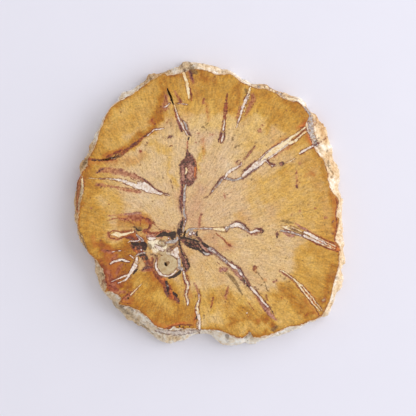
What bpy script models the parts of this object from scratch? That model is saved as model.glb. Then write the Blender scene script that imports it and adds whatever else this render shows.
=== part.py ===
"""A slice of petrified wood: a cross cut through a fossil log, sawn flat below and polished on top.

The slice is one solid piece of stone. Its rough rind is lofted ring by ring from the sawn
underside, out to the widest line of the log, and back in and up to the polished face. Then the
open crack and the small hollows of the polished face are cut into it.

Metres, +Z up. The origin is the middle of the underside, +Y runs along the longest way across.
"""
import math

import bpy
import bmesh
from mathutils import Matrix, Vector, noise

# Driving dimensions
SLICE_WIDTH = 0.1096            # across the drawn outline, along X
SLICE_THICKNESS = 0.010         # from the sawn underside to the polished face

# The drawing of the slice seen from above: x to the right, y down the page, in squares
DRAWN_WIDTH = 274.0
DRAWN_MIDDLE = (209.76, 203.60)
SQUARE = SLICE_WIDTH / DRAWN_WIDTH

# Edge of the polished face, clockwise from the top of the page
FACE_EDGE = [
    (184, 72), (192, 69), (205, 70), (218, 74), (231, 73.5), (240, 80.6), (249, 85),
    (258, 88), (265, 88.3), (276, 92.5), (282, 97.5), (292, 101), (299, 102.5), (307, 111.5),
    (309.5, 116), (306, 124.5), (308, 132), (313.5, 144.5), (319.5, 155.5), (323.5, 158.5),
    (327, 169.5), (328.8, 174), (328.3, 180.5), (333, 192), (339, 200.5), (336.3, 215.5),
    (339.5, 218.5), (338, 230), (335.2, 239.3), (340.4, 248), (339, 258), (339.5, 264.5),
    (336, 276), (333.2, 286.5), (331, 297), (326.7, 307), (321, 316.7), (310, 321.5),
    (300, 325.8), (290, 327), (279, 332), (267, 336), (254, 338), (250, 332), (246.5, 336),
    (240, 338.5), (226, 333.5), (219, 330.5), (203, 329.7), (179, 328.8), (174, 326.5),
    (169, 329.7), (157, 327.5), (148, 318.5), (142, 313.3), (130, 307), (118.7, 304.3),
    (121, 298.5), (110, 291.7), (104.5, 292), (106, 286.5), (103.3, 272), (96.5, 261),
    (88, 252.3), (83.3, 240), (77.7, 227.5), (79.2, 206), (82.7, 190), (80.5, 174.5),
    (87.3, 165), (88, 158.5), (94, 147), (97.7, 135.5), (102.5, 122.5), (107.5, 111.8),
    (114.5, 103.2), (127, 96.7), (137, 90.5), (149.5, 80.8), (163, 73.5), (168.5, 75.2),
]

# The widest line of the rind, clockwise from the top of the page
RIND_EDGE = [
    (184, 60.8), (196, 60), (208, 63.5), (221, 67.6), (232, 69.3), (239, 73.7), (244, 78.5),
    (254, 82.6), (266, 83.4), (271.5, 87.5), (285, 93), (299, 97.7), (309, 107), (321, 119.5),
    (328, 132), (333, 150), (336, 163), (338.7, 172), (339.6, 187), (343.2, 205), (344.1, 230),
    (346.2, 256), (343.9, 270), (344, 279), (339.8, 293), (334, 304), (327.5, 315),
    (315, 321.5), (303, 329), (287, 334.5), (272.5, 338.5), (260, 342.2), (246, 344),
    (231, 345), (221, 343.8), (216, 339.8), (210, 336), (196, 336), (183, 341.8),
    (171, 343.6), (160, 342), (149, 334), (138.5, 324.8), (125.5, 319.2), (113.3, 307),
    (110.8, 300.5), (101, 290.5), (96.3, 282), (93.6, 266), (88, 252.8), (80.5, 242),
    (76.2, 226), (72.6, 205), (75, 187.5), (79.5, 166), (86, 155.7), (91, 143.5),
    (97.5, 126), (107, 110.2), (119.5, 97.6), (125, 90.5), (137, 85.6), (145.3, 78.6),
    (148.3, 72.8), (164, 69.5), (177, 66), (180.5, 63.3),
]

# The loft
COLUMNS = 240                   # steps around the slice
RINGS_BELOW = 5                 # steps from the underside out to the widest line
RINGS_ABOVE = 8                 # steps from the widest line up to the polished face
SPAN_STEPS = 8                  # steps along the smooth curve between two drawn points
LEAST_OVERHANG = 0.00025        # the rind stands at least this far outside the polished face
WEAR_ALLOWANCE = 0.0006         # the unworn rind stands this far outside its drawn line
WIDEST_HEIGHT = 0.34            # height of the widest line, as a share of the thickness
WIDEST_SWING = 0.14             # how far that share swings up and down around the slice
BELOW_BULGE = 1.6               # 1 is a straight bevel, 2 is a quarter of an ellipse
ABOVE_BULGE = 1.3
UNDERCUT = 0.0011               # how far the underside's edge stands in from the widest line
UNDERCUT_SWING = 0.0006

# Relief of the rind, all of it cut inwards
FLUTE_DEPTH = 0.0013            # grooves that run down the rind, along the grain
FLUTE_WIDTH = 0.0042
FLUTE_LENGTH = 0.020
LUMP_DEPTH = 0.0011             # lumps and hollows, as wide as they are high
LUMP_SIZE = 0.0060
LEDGE_DEPTH = 0.0007            # a broken step below the polished face
LEDGE_HEIGHT = 0.66
LEDGE_SWING = 0.16
DEEPEST_UNDERCUT = 0.0007       # wear never reaches further than this under a flat face's edge

# Hollows of the polished face, on the drawing's squares
CRACK_LINE = [(167.6, 88.5), (169.3, 92.5), (170.9, 97), (171.8, 100.5), (173.2, 104)]
CRACK_WIDTH = 0.0008
CRACK_DEPTH = 0.0030
SEAM_LINE = [(102, 159.6), (106, 159.5), (110, 159), (114, 158), (119, 156.6)]
SEAM_WIDTH = 0.0008
SEAM_DEPTH = 0.0012
PITH_CENTRE = (166.2, 264.6)
PITH_RADIUS = 0.0007
PITH_DEPTH = 0.0015
VUG_CENTRE = (184.8, 233.0)
VUG_SIZE = (0.0012, 0.0008, 0.0010)
CUTTER_RISE = 0.0010            # a cutter stands this far above the face it cuts

STONE_COLOUR = (0.565, 0.335, 0.105, 1.0)
STONE_ROUGHNESS = 0.38


def clear_scene():
    """Remove every object of the scene."""
    for item in list(bpy.data.objects):
        bpy.data.objects.remove(item, do_unlink=True)


def place(point):
    """A point of the drawing, in metres from the middle of the slice."""
    x = (point[0] - DRAWN_MIDDLE[0]) * SQUARE
    y = (DRAWN_MIDDLE[1] - point[1]) * SQUARE
    return Vector((x, y, 0.0))


def smooth_loop(points):
    """Points along a smooth closed curve through the given ones."""
    count = len(points)
    loop = []
    for index in range(count):
        before, start, end, after = (points[(index + step) % count] for step in (-1, 0, 1, 2))
        for step in range(SPAN_STEPS):
            t = step / SPAN_STEPS
            inward = (end - before) * 0.5
            outward = (after - start) * 0.5
            loop.append(
                start * (2 * t ** 3 - 3 * t ** 2 + 1)
                + inward * (t ** 3 - 2 * t ** 2 + t)
                + end * (-2 * t ** 3 + 3 * t ** 2)
                + outward * (t ** 3 - t ** 2)
            )
    return loop


def radii(outline):
    """Distance from the middle to the outline, in each direction around the slice."""
    known = sorted((math.atan2(p.y, p.x), p.length) for p in smooth_loop([place(q) for q in outline]))
    first = (known[0][0] + 2 * math.pi, known[0][1])
    last = (known[-1][0] - 2 * math.pi, known[-1][1])
    known = [last] + known + [first]
    found = []
    index = 0
    for column in range(COLUMNS):
        angle = -math.pi + 2 * math.pi * column / COLUMNS
        while known[index + 1][0] <= angle:
            index += 1
        (angle_a, radius_a), (angle_b, radius_b) = known[index], known[index + 1]
        share = (angle - angle_a) / (angle_b - angle_a)
        found.append(radius_a + (radius_b - radius_a) * share)
    return found


def swing(angle, turns, seed):
    """A slow change around the slice, from -1 to 1, that meets itself after a full turn."""
    where = Vector((math.cos(angle) * turns, math.sin(angle) * turns, seed))
    return max(-1.0, min(1.0, 1.8 * noise.noise(where)))


def relief(point, share, angle):
    """How deep the rind is worn at a point; share is 0 at both flat faces and 1 at the middle."""
    flute = noise.noise(Vector((point.x / FLUTE_WIDTH, point.y / FLUTE_WIDTH, point.z / FLUTE_LENGTH)))
    lump = noise.noise(point / LUMP_SIZE + Vector((7.0, 3.0, 1.0)))
    height = point.z / SLICE_THICKNESS
    step_height = LEDGE_HEIGHT + LEDGE_SWING * swing(angle, 2.5, 5.0)
    step = max(0.0, min(1.0, (height - step_height) * 9.0))
    worn = FLUTE_DEPTH * (0.45 - flute) + LUMP_DEPTH * (0.35 - lump) + LEDGE_DEPTH * step
    return max(0.0, worn) * share


def level(ring, waist):
    """Height of a ring as a share of the thickness, and how far out it is, from 0 to 1."""
    if ring <= RINGS_BELOW:
        turn = 0.5 * math.pi * (1.0 - ring / RINGS_BELOW)
        power = 2.0 / BELOW_BULGE
        height = waist * (1.0 - math.sin(turn) ** power)
    else:
        turn = 0.5 * math.pi * (ring - RINGS_BELOW) / RINGS_ABOVE
        power = 2.0 / ABOVE_BULGE
        height = waist + (1.0 - waist) * math.sin(turn) ** power
    if ring in (0, RINGS_BELOW + RINGS_ABOVE):
        return round(height), 0.0
    return height, math.cos(turn) ** power


def column_points(column, face_radius, rind_radius):
    """The points of one column, from the underside's edge to the polished face's edge."""
    angle = -math.pi + 2 * math.pi * column / COLUMNS
    outward = Vector((math.cos(angle), math.sin(angle), 0.0))
    widest = max(rind_radius, face_radius + LEAST_OVERHANG) + WEAR_ALLOWANCE
    foot = widest - UNDERCUT - UNDERCUT_SWING * swing(angle, 3.0, 1.0)
    waist = WIDEST_HEIGHT + WIDEST_SWING * swing(angle, 2.0, 9.0)
    points = []
    for ring in range(RINGS_BELOW + RINGS_ABOVE + 1):
        height, spread = level(ring, waist)
        edge = foot if ring <= RINGS_BELOW else face_radius
        radius = edge + (widest - edge) * spread
        point = outward * radius
        point.z = height * SLICE_THICKNESS
        share = math.sqrt(min(1.0, 4.0 * height * (1.0 - height)))
        worn = min(relief(point, share, angle), radius - edge + DEEPEST_UNDERCUT)
        points.append(point - outward * worn)
    return points


def loft_slice():
    """The slice's mesh: a ring for each level, joined to the next, with a flat cap at both ends."""
    face_radii = radii(FACE_EDGE)
    rind_radii = radii(RIND_EDGE)
    mesh = bmesh.new()
    columns = []
    for column in range(COLUMNS):
        points = column_points(column, face_radii[column], rind_radii[column])
        columns.append([mesh.verts.new(point) for point in points])
    for column in range(COLUMNS):
        left = columns[column]
        right = columns[(column + 1) % COLUMNS]
        for ring in range(RINGS_BELOW + RINGS_ABOVE):
            mesh.faces.new((left[ring], right[ring], right[ring + 1], left[ring + 1]))
    mesh.faces.new([column[0] for column in reversed(columns)])
    mesh.faces.new([column[-1] for column in columns])
    bmesh.ops.recalc_face_normals(mesh, faces=mesh.faces)
    return mesh


def add_object(mesh, name, collection):
    """Turn a mesh being edited into an object of the collection."""
    data = bpy.data.meshes.new(name)
    mesh.to_mesh(data)
    mesh.free()
    item = bpy.data.objects.new(name, data)
    collection.objects.link(item)
    return item


def stone():
    """The warm golden brown of the polished stone."""
    material = bpy.data.materials.new("petrified wood")
    material.use_nodes = True
    shader = material.node_tree.nodes["Principled BSDF"]
    shader.inputs["Base Color"].default_value = STONE_COLOUR
    shader.inputs["Roughness"].default_value = STONE_ROUGHNESS
    shader.inputs["Metallic"].default_value = 0.0
    material.diffuse_color = STONE_COLOUR
    return material


def groove_cutter(name, line, width, depth, collection):
    """A keel along a line: widest in the middle of its length and narrow at its foot."""
    top = SLICE_THICKNESS + CUTTER_RISE
    points = [place(point) for point in line]
    mesh = bmesh.new()
    rings = []
    for index, point in enumerate(points):
        ahead = points[min(index + 1, len(points) - 1)] - points[max(index - 1, 0)]
        across = Vector((-ahead.y, ahead.x, 0.0)).normalized()
        place_along = index / (len(points) - 1)
        half = 0.5 * width * (0.35 + 0.65 * math.sin(math.pi * place_along))
        floor = SLICE_THICKNESS - depth * (0.45 + 0.55 * math.sin(math.pi * place_along))
        corners = [
            point + across * half + Vector((0.0, 0.0, top)),
            point - across * half + Vector((0.0, 0.0, top)),
            point - across * half * 0.35 + Vector((0.0, 0.0, floor)),
            point + across * half * 0.35 + Vector((0.0, 0.0, floor)),
        ]
        rings.append([mesh.verts.new(corner) for corner in corners])
    for here, there in zip(rings, rings[1:]):
        for corner in range(4):
            following = (corner + 1) % 4
            mesh.faces.new((here[corner], here[following], there[following], there[corner]))
    mesh.faces.new(rings[0][::-1])
    mesh.faces.new(rings[-1])
    bmesh.ops.recalc_face_normals(mesh, faces=mesh.faces)
    return add_object(mesh, name, collection)


def pith_cutter(collection):
    """A tapered plug for the small hole at the heart of the rings."""
    height = PITH_DEPTH + CUTTER_RISE
    middle = place(PITH_CENTRE) + Vector((0.0, 0.0, SLICE_THICKNESS + CUTTER_RISE - 0.5 * height))
    mesh = bmesh.new()
    bmesh.ops.create_cone(
        mesh, cap_ends=True, segments=14, radius1=PITH_RADIUS * 0.45, radius2=PITH_RADIUS * 1.2,
        depth=height, matrix=Matrix.Translation(middle),
    )
    return add_object(mesh, "pith_cutter", collection)


def vug_cutter(collection):
    """A small egg for the crystal hollow beside the pith."""
    middle = place(VUG_CENTRE) + Vector((0.0, 0.0, SLICE_THICKNESS))
    shape = Matrix.Translation(middle) @ Matrix.Diagonal((*VUG_SIZE, 1.0))
    mesh = bmesh.new()
    bmesh.ops.create_icosphere(mesh, subdivisions=2, radius=1.0, matrix=shape)
    return add_object(mesh, "vug_cutter", collection)


def cut(item, cutter):
    """Cut one shape out of another, and keep the cutter as a wire guide."""
    cutter.hide_render = True
    cutter.display_type = "WIRE"
    modifier = item.modifiers.new(cutter.name, "BOOLEAN")
    modifier.operation = "DIFFERENCE"
    modifier.solver = "EXACT"
    modifier.object = cutter


def shade(item):
    """Smooth the rind, and leave the edges of the two flat faces sharp."""
    item.data.shade_smooth()
    item.data.set_sharp_from_angle(angle=math.radians(38))


def main():
    """Build the slice and cut its hollows."""
    clear_scene()
    collection = bpy.data.collections.new("Petrified wood slice")
    cutters = bpy.data.collections.new("Cutters")
    bpy.context.scene.collection.children.link(collection)
    bpy.context.scene.collection.children.link(cutters)

    slice_object = add_object(loft_slice(), "slice", collection)
    slice_object.data.materials.append(stone())
    shade(slice_object)

    cut(slice_object, groove_cutter("crack_cutter", CRACK_LINE, CRACK_WIDTH, CRACK_DEPTH, cutters))
    cut(slice_object, groove_cutter("seam_cutter", SEAM_LINE, SEAM_WIDTH, SEAM_DEPTH, cutters))
    cut(slice_object, pith_cutter(cutters))
    cut(slice_object, vug_cutter(cutters))


main()
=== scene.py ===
"""The looks of a petrified wood slice: a cross cut through a fossil log, polished on top.

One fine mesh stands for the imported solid. Its rind follows the same outlines and the same wear
as the solid, with finer bark-like relief cut into it, and its polished face carries the veins,
seams and stains of the stone as mineral fillings, drawn line by line. Each mineral is stored on
the mesh as its depth in millimetres, and the stone's finish turns those depths into colour.

Metres, +Z up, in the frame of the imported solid. Plan positions are given on a drawing whose
squares are 0.2 mm, x to the right and y down the page.
"""
import logging
import math
from dataclasses import dataclass, field
from enum import Enum

import bpy
import numpy as np
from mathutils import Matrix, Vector, noise
from mathutils.geometry import delaunay_2d_cdt


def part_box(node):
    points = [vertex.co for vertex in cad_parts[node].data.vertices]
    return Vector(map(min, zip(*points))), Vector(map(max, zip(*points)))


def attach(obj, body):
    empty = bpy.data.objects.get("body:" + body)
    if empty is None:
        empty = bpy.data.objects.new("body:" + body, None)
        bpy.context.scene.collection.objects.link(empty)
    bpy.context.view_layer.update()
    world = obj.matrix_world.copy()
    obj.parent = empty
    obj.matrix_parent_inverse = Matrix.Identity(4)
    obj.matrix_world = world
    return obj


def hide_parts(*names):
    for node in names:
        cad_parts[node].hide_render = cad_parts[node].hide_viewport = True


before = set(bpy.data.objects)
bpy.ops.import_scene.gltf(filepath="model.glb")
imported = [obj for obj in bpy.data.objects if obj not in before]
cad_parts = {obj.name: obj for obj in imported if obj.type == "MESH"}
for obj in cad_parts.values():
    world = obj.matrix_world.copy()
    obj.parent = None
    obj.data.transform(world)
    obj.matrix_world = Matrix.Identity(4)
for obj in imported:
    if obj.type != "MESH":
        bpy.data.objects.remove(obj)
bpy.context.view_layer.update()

log = logging.getLogger("petrified_wood")

NODE = "slice"
MM = 0.001  # a millimetre in metres
SQUARE_MM = 0.2  # a square of the drawing, in millimetres
DRAWN_MIDDLE = (419.52, 407.2)  # where the slice's middle is on the drawing
HEART_MIDDLE = (360.0, 472.0)  # the heart of the log, where the rays of the grain meet
PAGE_MIDDLE = (416.0, 416.0)  # what the camera looks at
PAGE_SQUARES = 832  # squares across the camera's view
FAR_MM = 2.0  # mineral depths are kept down to this far outside a vein
THREAD_END = 0.6  # how wide the ends of a thread are, as a share of its width
NOISE_SEED = 3  # keeps the drift of the markings the same in every run
GRID_SEED = 11  # for the jitter of the ground's points

Point = tuple[float, float]
Trio = tuple[float, float, float]
Reach = Trio  # a point of a line and the line's width there


class Mineral(Enum):
    """What fills the veins and stains the stone. The two stains lie under all the fillings."""

    HALO = "halo"  # a soft orange-red iron stain
    BLUSH = "blush"  # a soft pink and mauve stain
    OLIVE = "olive"  # a smear of olive-brown clay
    BUFF = "buff"  # pale olive-buff chalcedony around the pith
    RUST = "rust"  # red-brown jasper
    PLUM = "plum"  # dark purple-brown jasper
    MAUVE = "mauve"  # pink-grey jasper inside the dark fillings
    ORANGE = "orange"  # bright orange jasper
    GREY = "grey"  # blue-grey, half-clear chalcedony
    WHITE = "white"  # white quartz
    CREAM = "cream"  # cream quartz
    BLACK = "black"  # near-black filling, and the painted shade inside open voids


Depths = dict[Mineral, np.ndarray]  # how deep positions lie in each mineral, in millimetres


@dataclass(frozen=True)
class Vein:
    """A mineral that fills a line of changing width, or one round spot."""

    mineral: Mineral
    line: tuple[Reach, ...]


@dataclass(frozen=True)
class Zone:
    """A wide area of the ground with a tone of its own: 0 is pale tan, 1 amber, 1.5 red-brown."""

    tone: float
    hue: float  # from -1, golden, through 0, tan, to 1, pink
    soft: float  # half the width of its soft edge
    line: tuple[Reach, ...]


def vein(mineral: Mineral, *line: Reach) -> Vein:
    """Write a vein as what fills it and its points and widths, in squares of the drawing."""
    return Vein(mineral, line)


def thread(mineral: Mineral, width: float, *points: Point) -> Vein:
    """Write a thin vein of one width, finer at both ends, in squares of the drawing."""
    widths = [width * THREAD_END, *[width] * (len(points) - 2), width * THREAD_END]
    return Vein(mineral, tuple((*point, wide) for point, wide in zip(points, widths)))


def spots(mineral: Mineral, *where: Reach) -> tuple[Vein, ...]:
    """Write round spots of one mineral, each as a place and a width."""
    return tuple(Vein(mineral, (spot,)) for spot in where)


def zone(tone: float, hue: float, soft: float, *line: Reach) -> Zone:
    """Write a zone as its looks and its points and widths, in squares of the drawing."""
    return Zone(tone, hue, soft, line)


# Edge of the polished face, clockwise from the top of the page
FACE_EDGE: tuple[Point, ...] = (
    (368,144), (384,138), (410,140), (436,148), (462,147), (480,161.2), (498,170), (516,176), (530,176.6),
    (552,185), (564,195), (584,202), (598,205), (614,223), (619,232), (612,249), (616,264), (627,289),
    (639,311), (647,317), (654,339), (657.6,348), (656.6,361), (666,384), (678,401), (672.6,431), (679,437),
    (676,460), (670.4,478.6), (680.8,496), (678,516), (679,529), (672,552), (666.4,573), (662,594),
    (653.4,614), (642,633.4), (620,643), (600,651.6), (580,654), (558,664), (534,672), (508,676), (500,664),
    (493,672), (480,677), (452,667), (438,661), (406,659.4), (358,657.6), (348,653), (338,659.4), (314,655),
    (296,637), (284,626.6), (260,614), (237.4,608.6), (242,597), (220,583.4), (209,584), (212,573),
    (206.6,544), (193,522), (176,504.6), (166.6,480), (155.4,455), (158.4,412), (165.4,380), (161,349),
    (174.6,330), (176,317), (188,294), (195.4,271), (205,245), (215,223.6), (229,206.4), (254,193.4),
    (274,181), (299,161.6), (326,147), (337,150.4),
)

# The widest line of the rind, clockwise from the top of the page
RIND_EDGE: tuple[Point, ...] = (
    (368,121.6), (392,120), (416,127), (442,135.2), (464,138.6), (478,147.4), (488,157), (508,165.2),
    (532,166.8), (543,175), (570,186), (598,195.4), (618,214), (642,239), (656,264), (666,300), (672,326),
    (677.4,344), (679.2,374), (686.4,410), (688.2,460), (692.4,512), (687.8,540), (688,558), (679.6,586),
    (668,608), (655,630), (630,643), (606,658), (574,669), (545,677), (520,684.4), (492,688), (462,690),
    (442,687.6), (432,679.6), (420,672), (392,672), (366,683.6), (342,687.2), (320,684), (298,668),
    (277,649.6), (251,638.4), (226.6,614), (221.6,601), (202,581), (192.6,564), (187.2,532), (176,505.6),
    (161,484), (152.4,452), (145.2,410), (150,375), (159,332), (172,311.4), (182,287), (195,252),
    (214,220.4), (239,195.2), (250,181), (274,171.2), (290.6,157.2), (296.6,145.6), (328,139), (354,132),
    (361,126.6),
)

# Pits and crevices of the rind: place and width
RIND_PITS: tuple[Reach, ...] = (
    (297,149,6), (366,130,7), (532,172,6), (637,281,7.2), (640,276,6), (630.6,286,6.4), (654,312,6.4),
    (660,324,6.4), (657,328,6), (662,342,6), (670,352,6), (456,682,8), (494,682,8), (503,670,8),
    (240,617,8), (254,623,8), (258,629,6.8), (292,644,8), (308,660,7.2), (202,552,6.8), (380,670,7.2),
    (360,666,6.8), (676,560,6.8), (682,500,6.4),
)

HALO, BLUSH, OLIVE, BUFF, RUST, PLUM, MAUVE, ORANGE, GREY, WHITE, CREAM, BLACK = Mineral
STAINS = (HALO, BLUSH)

# The arc crack that cuts off the north-west of the slice, filled with jasper
ARC_CRACK = (
    vein(RUST, (173,318,3.5), (210,320,7), (238,312,8), (246,306,8), (280,281,6), (292,270,4.5),
        (300,265,3), (306,259,2.8), (322,256,1.8)), vein(RUST, (212,314,2.8), (234,305,5.5), (244,300,5)),
    thread(RUST, 3.5, (332,246), (338,239)), vein(OLIVE, (208,320,3.5), (236,314,6), (242,311,4)),
    # The black is partly dark filling and, where the crack is cut open, painted shade in the hollow
    vein(BLACK, (184,320,2.4), (216,320,2.4)), thread(GREY, 1.8, (222,317), (238,313)),
    thread(BLACK, 1.6, (216,316), (236,311)), thread(BLACK, 1.6, (252,300), (284,277)),
    vein(BLACK, (287,274,2.2), (298,266,1.8)), vein(PLUM, (256,297,2.8), (271,286,3)),
    thread(WHITE, 2, (294,272), (306,262), (312,259), (327,257)),
    vein(HALO, (178,323,10), (202,326,6), (232,320,5)), vein(HALO, (208,312,6), (252,294,5)),
    vein(RUST, (303,239,4.5), (304,242,4)), vein(RUST, (310,247,4.5)), vein(HALO, (304,243,12)),
)

# The white wedge of the west, with mottled mauve jasper over and under it
WEST_WEDGE = (
    vein(WHITE, (220,358,1.6), (236,359,3), (272,372,8), (280,374,7)),
    vein(WHITE, (278,368,10), (286,371,14), (296,377,14), (322,388,2.4)),
    thread(GREY, 1.6, (276,367), (281,364), (285,368), (282,372), (277,372)),
    thread(CREAM, 1.6, (178,356), (196,358)), thread(WHITE, 1.6, (198,358), (220,357)),
    vein(BLUSH, (194,345,6), (208,340,10), (240,344,13), (280,358,5)),
    thread(PLUM, 2.8, (194,347), (199,342), (208,337)), *spots(PLUM, (241,341,4), (197,369,3), (203,374,3)),
    vein(RUST, (235,345,3)), thread(RUST, 2.2, (244,351), (274,362)), thread(RUST, 3, (266,346), (282,355)),
    thread(PLUM, 3, (278,355), (286,358), (302,370), (310,378), (340,390)),
    vein(BLUSH, (268,350,8), (300,368,4)), vein(WHITE, (320,385,1.2), (338,391,0.8)),
    vein(BLUSH, (194,369,7), (236,374,4)), thread(RUST, 2, (228,374), (252,376), (286,383)),
    vein(BLUSH, (236,378,5), (280,385,5)), vein(HALO, (248,378,6), (276,384,6)),
)

# The rim of the west and south-west, where the rind has split off
WEST_RIM = (
    vein(RUST, (176,316,2.8), (168,337,2.4), (162,345,2.6), (158,362,2)),
    thread(CREAM, 3, (164,352), (165,378), (158,403)), thread(RUST, 1.8, (168,360), (167,382)),
    vein(HALO, (168,324,10), (164,344,8)), vein(OLIVE, (161,464,2.4), (176,502,2.4)),
)
WEST_RIND = (
    vein(ORANGE, (160,354,6), (158,366,9), (155,398,5), (155,412,6), (155,424,4)),
    vein(RUST, (160,352,2), (155,364,3), (152,404,2.8), (153,420,3)),
    vein(CREAM, (163,352,2.4), (164,378,4), (157,406,2.4), (157,420,1.8)),
    vein(OLIVE, (163,334,3.5), (169,326,5), (173,318,2.8)), *spots(BUFF, (165,331,4), (171,323,4)),
    vein(OLIVE, (156,458,3), (174,502,3.5)), vein(RUST, (180,511,2.8), (192,524,2.4)),
)

# The cream needle that runs in from the northern rim
NEEDLE = (
    vein(OLIVE, (366,133,6), (378,138,10), (392,146,8)),
    vein(PLUM, (378,142,3), (383,147,5), (383,154,4.5), (384,160,2.6)),
    vein(BLUSH, (378,140,8), (386,164,6)), vein(PLUM, (372,134,3)),
    vein(CREAM, (363,136,3.5), (364,142,5), (368,147,6), (376,176,5), (378,199,1.8)),
    thread(RUST, 4, (379,174), (383,192), (383,202)),
)

# The open crack of the north and its mottled halo
OPEN_CRACK = (
    vein(BLUSH, (332,192,8), (330,216,12)), vein(BLUSH, (349,182,4), (362,204,8)),
    thread(RUST, 2.8, (331,190), (331,198), (334,204)),
    *spots(RUST, (322,214,3), (330,222,3.5), (337,217,3.5)), thread(RUST, 3.5, (353,192), (363,205)),
    # The black down the crack's open gap is painted shade in the hollow
    vein(PLUM, (360,201,3)), vein(BLACK, (335,178,2.4), (346,208,2.8)),
    thread(RUST, 1.8, (338,189), (342,203)), thread(WHITE, 1.8, (327,215), (331,214), (340,206)),
    thread(WHITE, 1.8, (352,206), (374,209)),
)

# The seam that leads from the open crack down to the heart
NORTH_SEAM = (
    vein(CREAM, (349,210,2), (352,221,2.2)), thread(WHITE, 3, (351,220), (362,247), (375,270)),
    vein(BLUSH, (349,218,4), (363,260,7)), thread(RUST, 2.6, (347,217), (355,242)),
    thread(PLUM, 4, (354,240), (361,257), (364,264)), thread(MAUVE, 2, (358,242), (365,258)),
    thread(RUST, 2, (354,223), (362,238)), vein(RUST, (352,234,3.5)),
    vein(PLUM, (362,237,2.4), (372,250,8), (378,266,4.5)), thread(GREY, 4, (367,243), (371,250), (376,263)),
    vein(PLUM, (378,267,5), (380,270,4.5)), vein(BLACK, (377,275,4), (377,279,4)),
    vein(BLUSH, (375,282,4), (374,295,5)), thread(RUST, 3, (376,282), (374,297)),
)

# The dark teardrop below it
TEARDROP = (
    vein(PLUM, (375,298,2), (376,306,7), (379,320,20), (376,334,34), (377,350,34), (376,362,22),
        (380,366,8)), vein(MAUVE, (380,331,7), (382,337,12), (381,353,12), (379,358,7)),
    vein(MAUVE, (365,332,5), (366,352,6), (366,362,4)), thread(PLUM, 2.8, (376,328), (386,344), (383,353)),
    thread(PLUM, 2, (377,340), (379,348), (377,356)), *spots(PLUM, (384,357,3), (364,337,3)),
    thread(RUST, 3.5, (387,317), (391,324), (392,354), (389,361)),
    thread(ORANGE, 2.8, (390,334), (390,343), (388,357)),
    thread(CREAM, 3.5, (373,335), (373,340), (370,350)), thread(BLACK, 2.2, (371,349), (371,369)),
    vein(BLUSH, (397,341,3)),
)

# The thin strands from the teardrop to the heart
HEART_STRANDS = (
    vein(PLUM, (362,358,5), (365,376,3.5), (363,392,4)), vein(BLUSH, (364,362,6), (363,388,5)),
    thread(GREY, 4, (371,368), (369,386), (368,426), (371,436), (366,464)),
    thread(WHITE, 2, (370,400), (368,414)), thread(WHITE, 2.2, (371,434), (369,452)),
    vein(PLUM, (362,393,5), (362,400,8), (361,414,4.5), (363,428,2)),
    vein(RUST, (364,398,2.6), (363,407,2.6)), vein(OLIVE, (373,414,3), (373,422,2.6)),
    vein(PLUM, (366,376,1.4), (366,412,1.2)),
)

# The dark vein that runs south from the heart
SOUTH_VEIN = (
    vein(PLUM, (365,436,3), (364,442,6), (359,454,9), (358,468,8), (361,478,6), (358,485,5), (363,501,6),
        (372,527,14), (372,542,5)),
    thread(BLACK, 3.5, (363,443), (358,462), (360,474), (359,486), (365,510)),
    thread(BLACK, 3, (366,510), (378,528), (377,538)), thread(BLACK, 2.2, (364,516), (366,527), (370,538)),
    thread(BLACK, 2, (366,442), (363,462), (364,472)), thread(BLACK, 1.8, (355,454), (355,471)),
    vein(BLACK, (372,539,4.5)), *spots(MAUVE, (371,524,3), (373,531,3.5)),
)

# The great vein that runs from the heart to the south-east
GREAT_VEIN = (
    vein(PLUM, (361,478,6), (378,487,13), (398,493,17), (413,503,18), (419,505,14)),
    thread(BLACK, 3.5, (382,494), (398,498), (408,509)), thread(BLACK, 2.8, (368,486), (382,495)),
    vein(BLACK, (396,477,2), (413,492,6), (419,499,4)),
    thread(BLACK, 4, (372,483), (380,488), (388,489), (396,487)),
    vein(BLACK, (380,495,3), (398,501,5), (404,505,4)), vein(BLACK, (400,492,2.8), (412,505,3)),
    vein(BLACK, (398,489,3)), thread(RUST, 3, (380,486), (396,493)),
    vein(MAUVE, (400,487,2.8), (407,495,6), (414,501,5)),
    vein(GREY, (407,505,2.8), (413,508,5), (419,508,4.5)),
    thread(PLUM, 3.5, (418,495), (424,496), (456,521)), thread(PLUM, 4, (462,523), (483,542), (502,574)),
    vein(MAUVE, (463,536,3), (478,551,8), (483,556,6)), thread(PLUM, 1.8, (418,503), (444,521), (460,535)),
    thread(PLUM, 2.6, (458,533), (483,561)),
    vein(GREY, (415,498,4), (422,499,6), (456,526,5), (463,530,7), (476,540,4.5), (482,547,6),
        (487,554,3.5)), thread(WHITE, 2.2, (424,500), (450,521)),
    vein(WHITE, (456,526,2.4), (463,530,5), (475,539,1.8)), vein(WHITE, (480,545,2.8), (484,550,4)),
    vein(PLUM, (483,555,4), (488,561,8), (498,574,6), (502,580,2.8)),
    thread(BLACK, 3, (484,556), (499,577)), vein(GREY, (488,559,2), (492,565,2.6)),
    vein(MAUVE, (512,588,3), (533,618,10), (545,634,4.5), (553,641,2)),
    thread(WHITE, 4.5, (502,575), (506,579), (535,614)), thread(PLUM, 2, (510,577), (544,622), (548,631)),
    thread(PLUM, 1.8, (501,580), (508,586), (525,610), (529,620), (544,637)),
    *spots(PLUM, (510,575,3.5), (527,609,3), (531,614,3), (533,620,3.5)),
    vein(BLUSH, (512,593,5), (534,626,5)), vein(BLUSH, (541,628,6), (554,641,3)),
)

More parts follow.
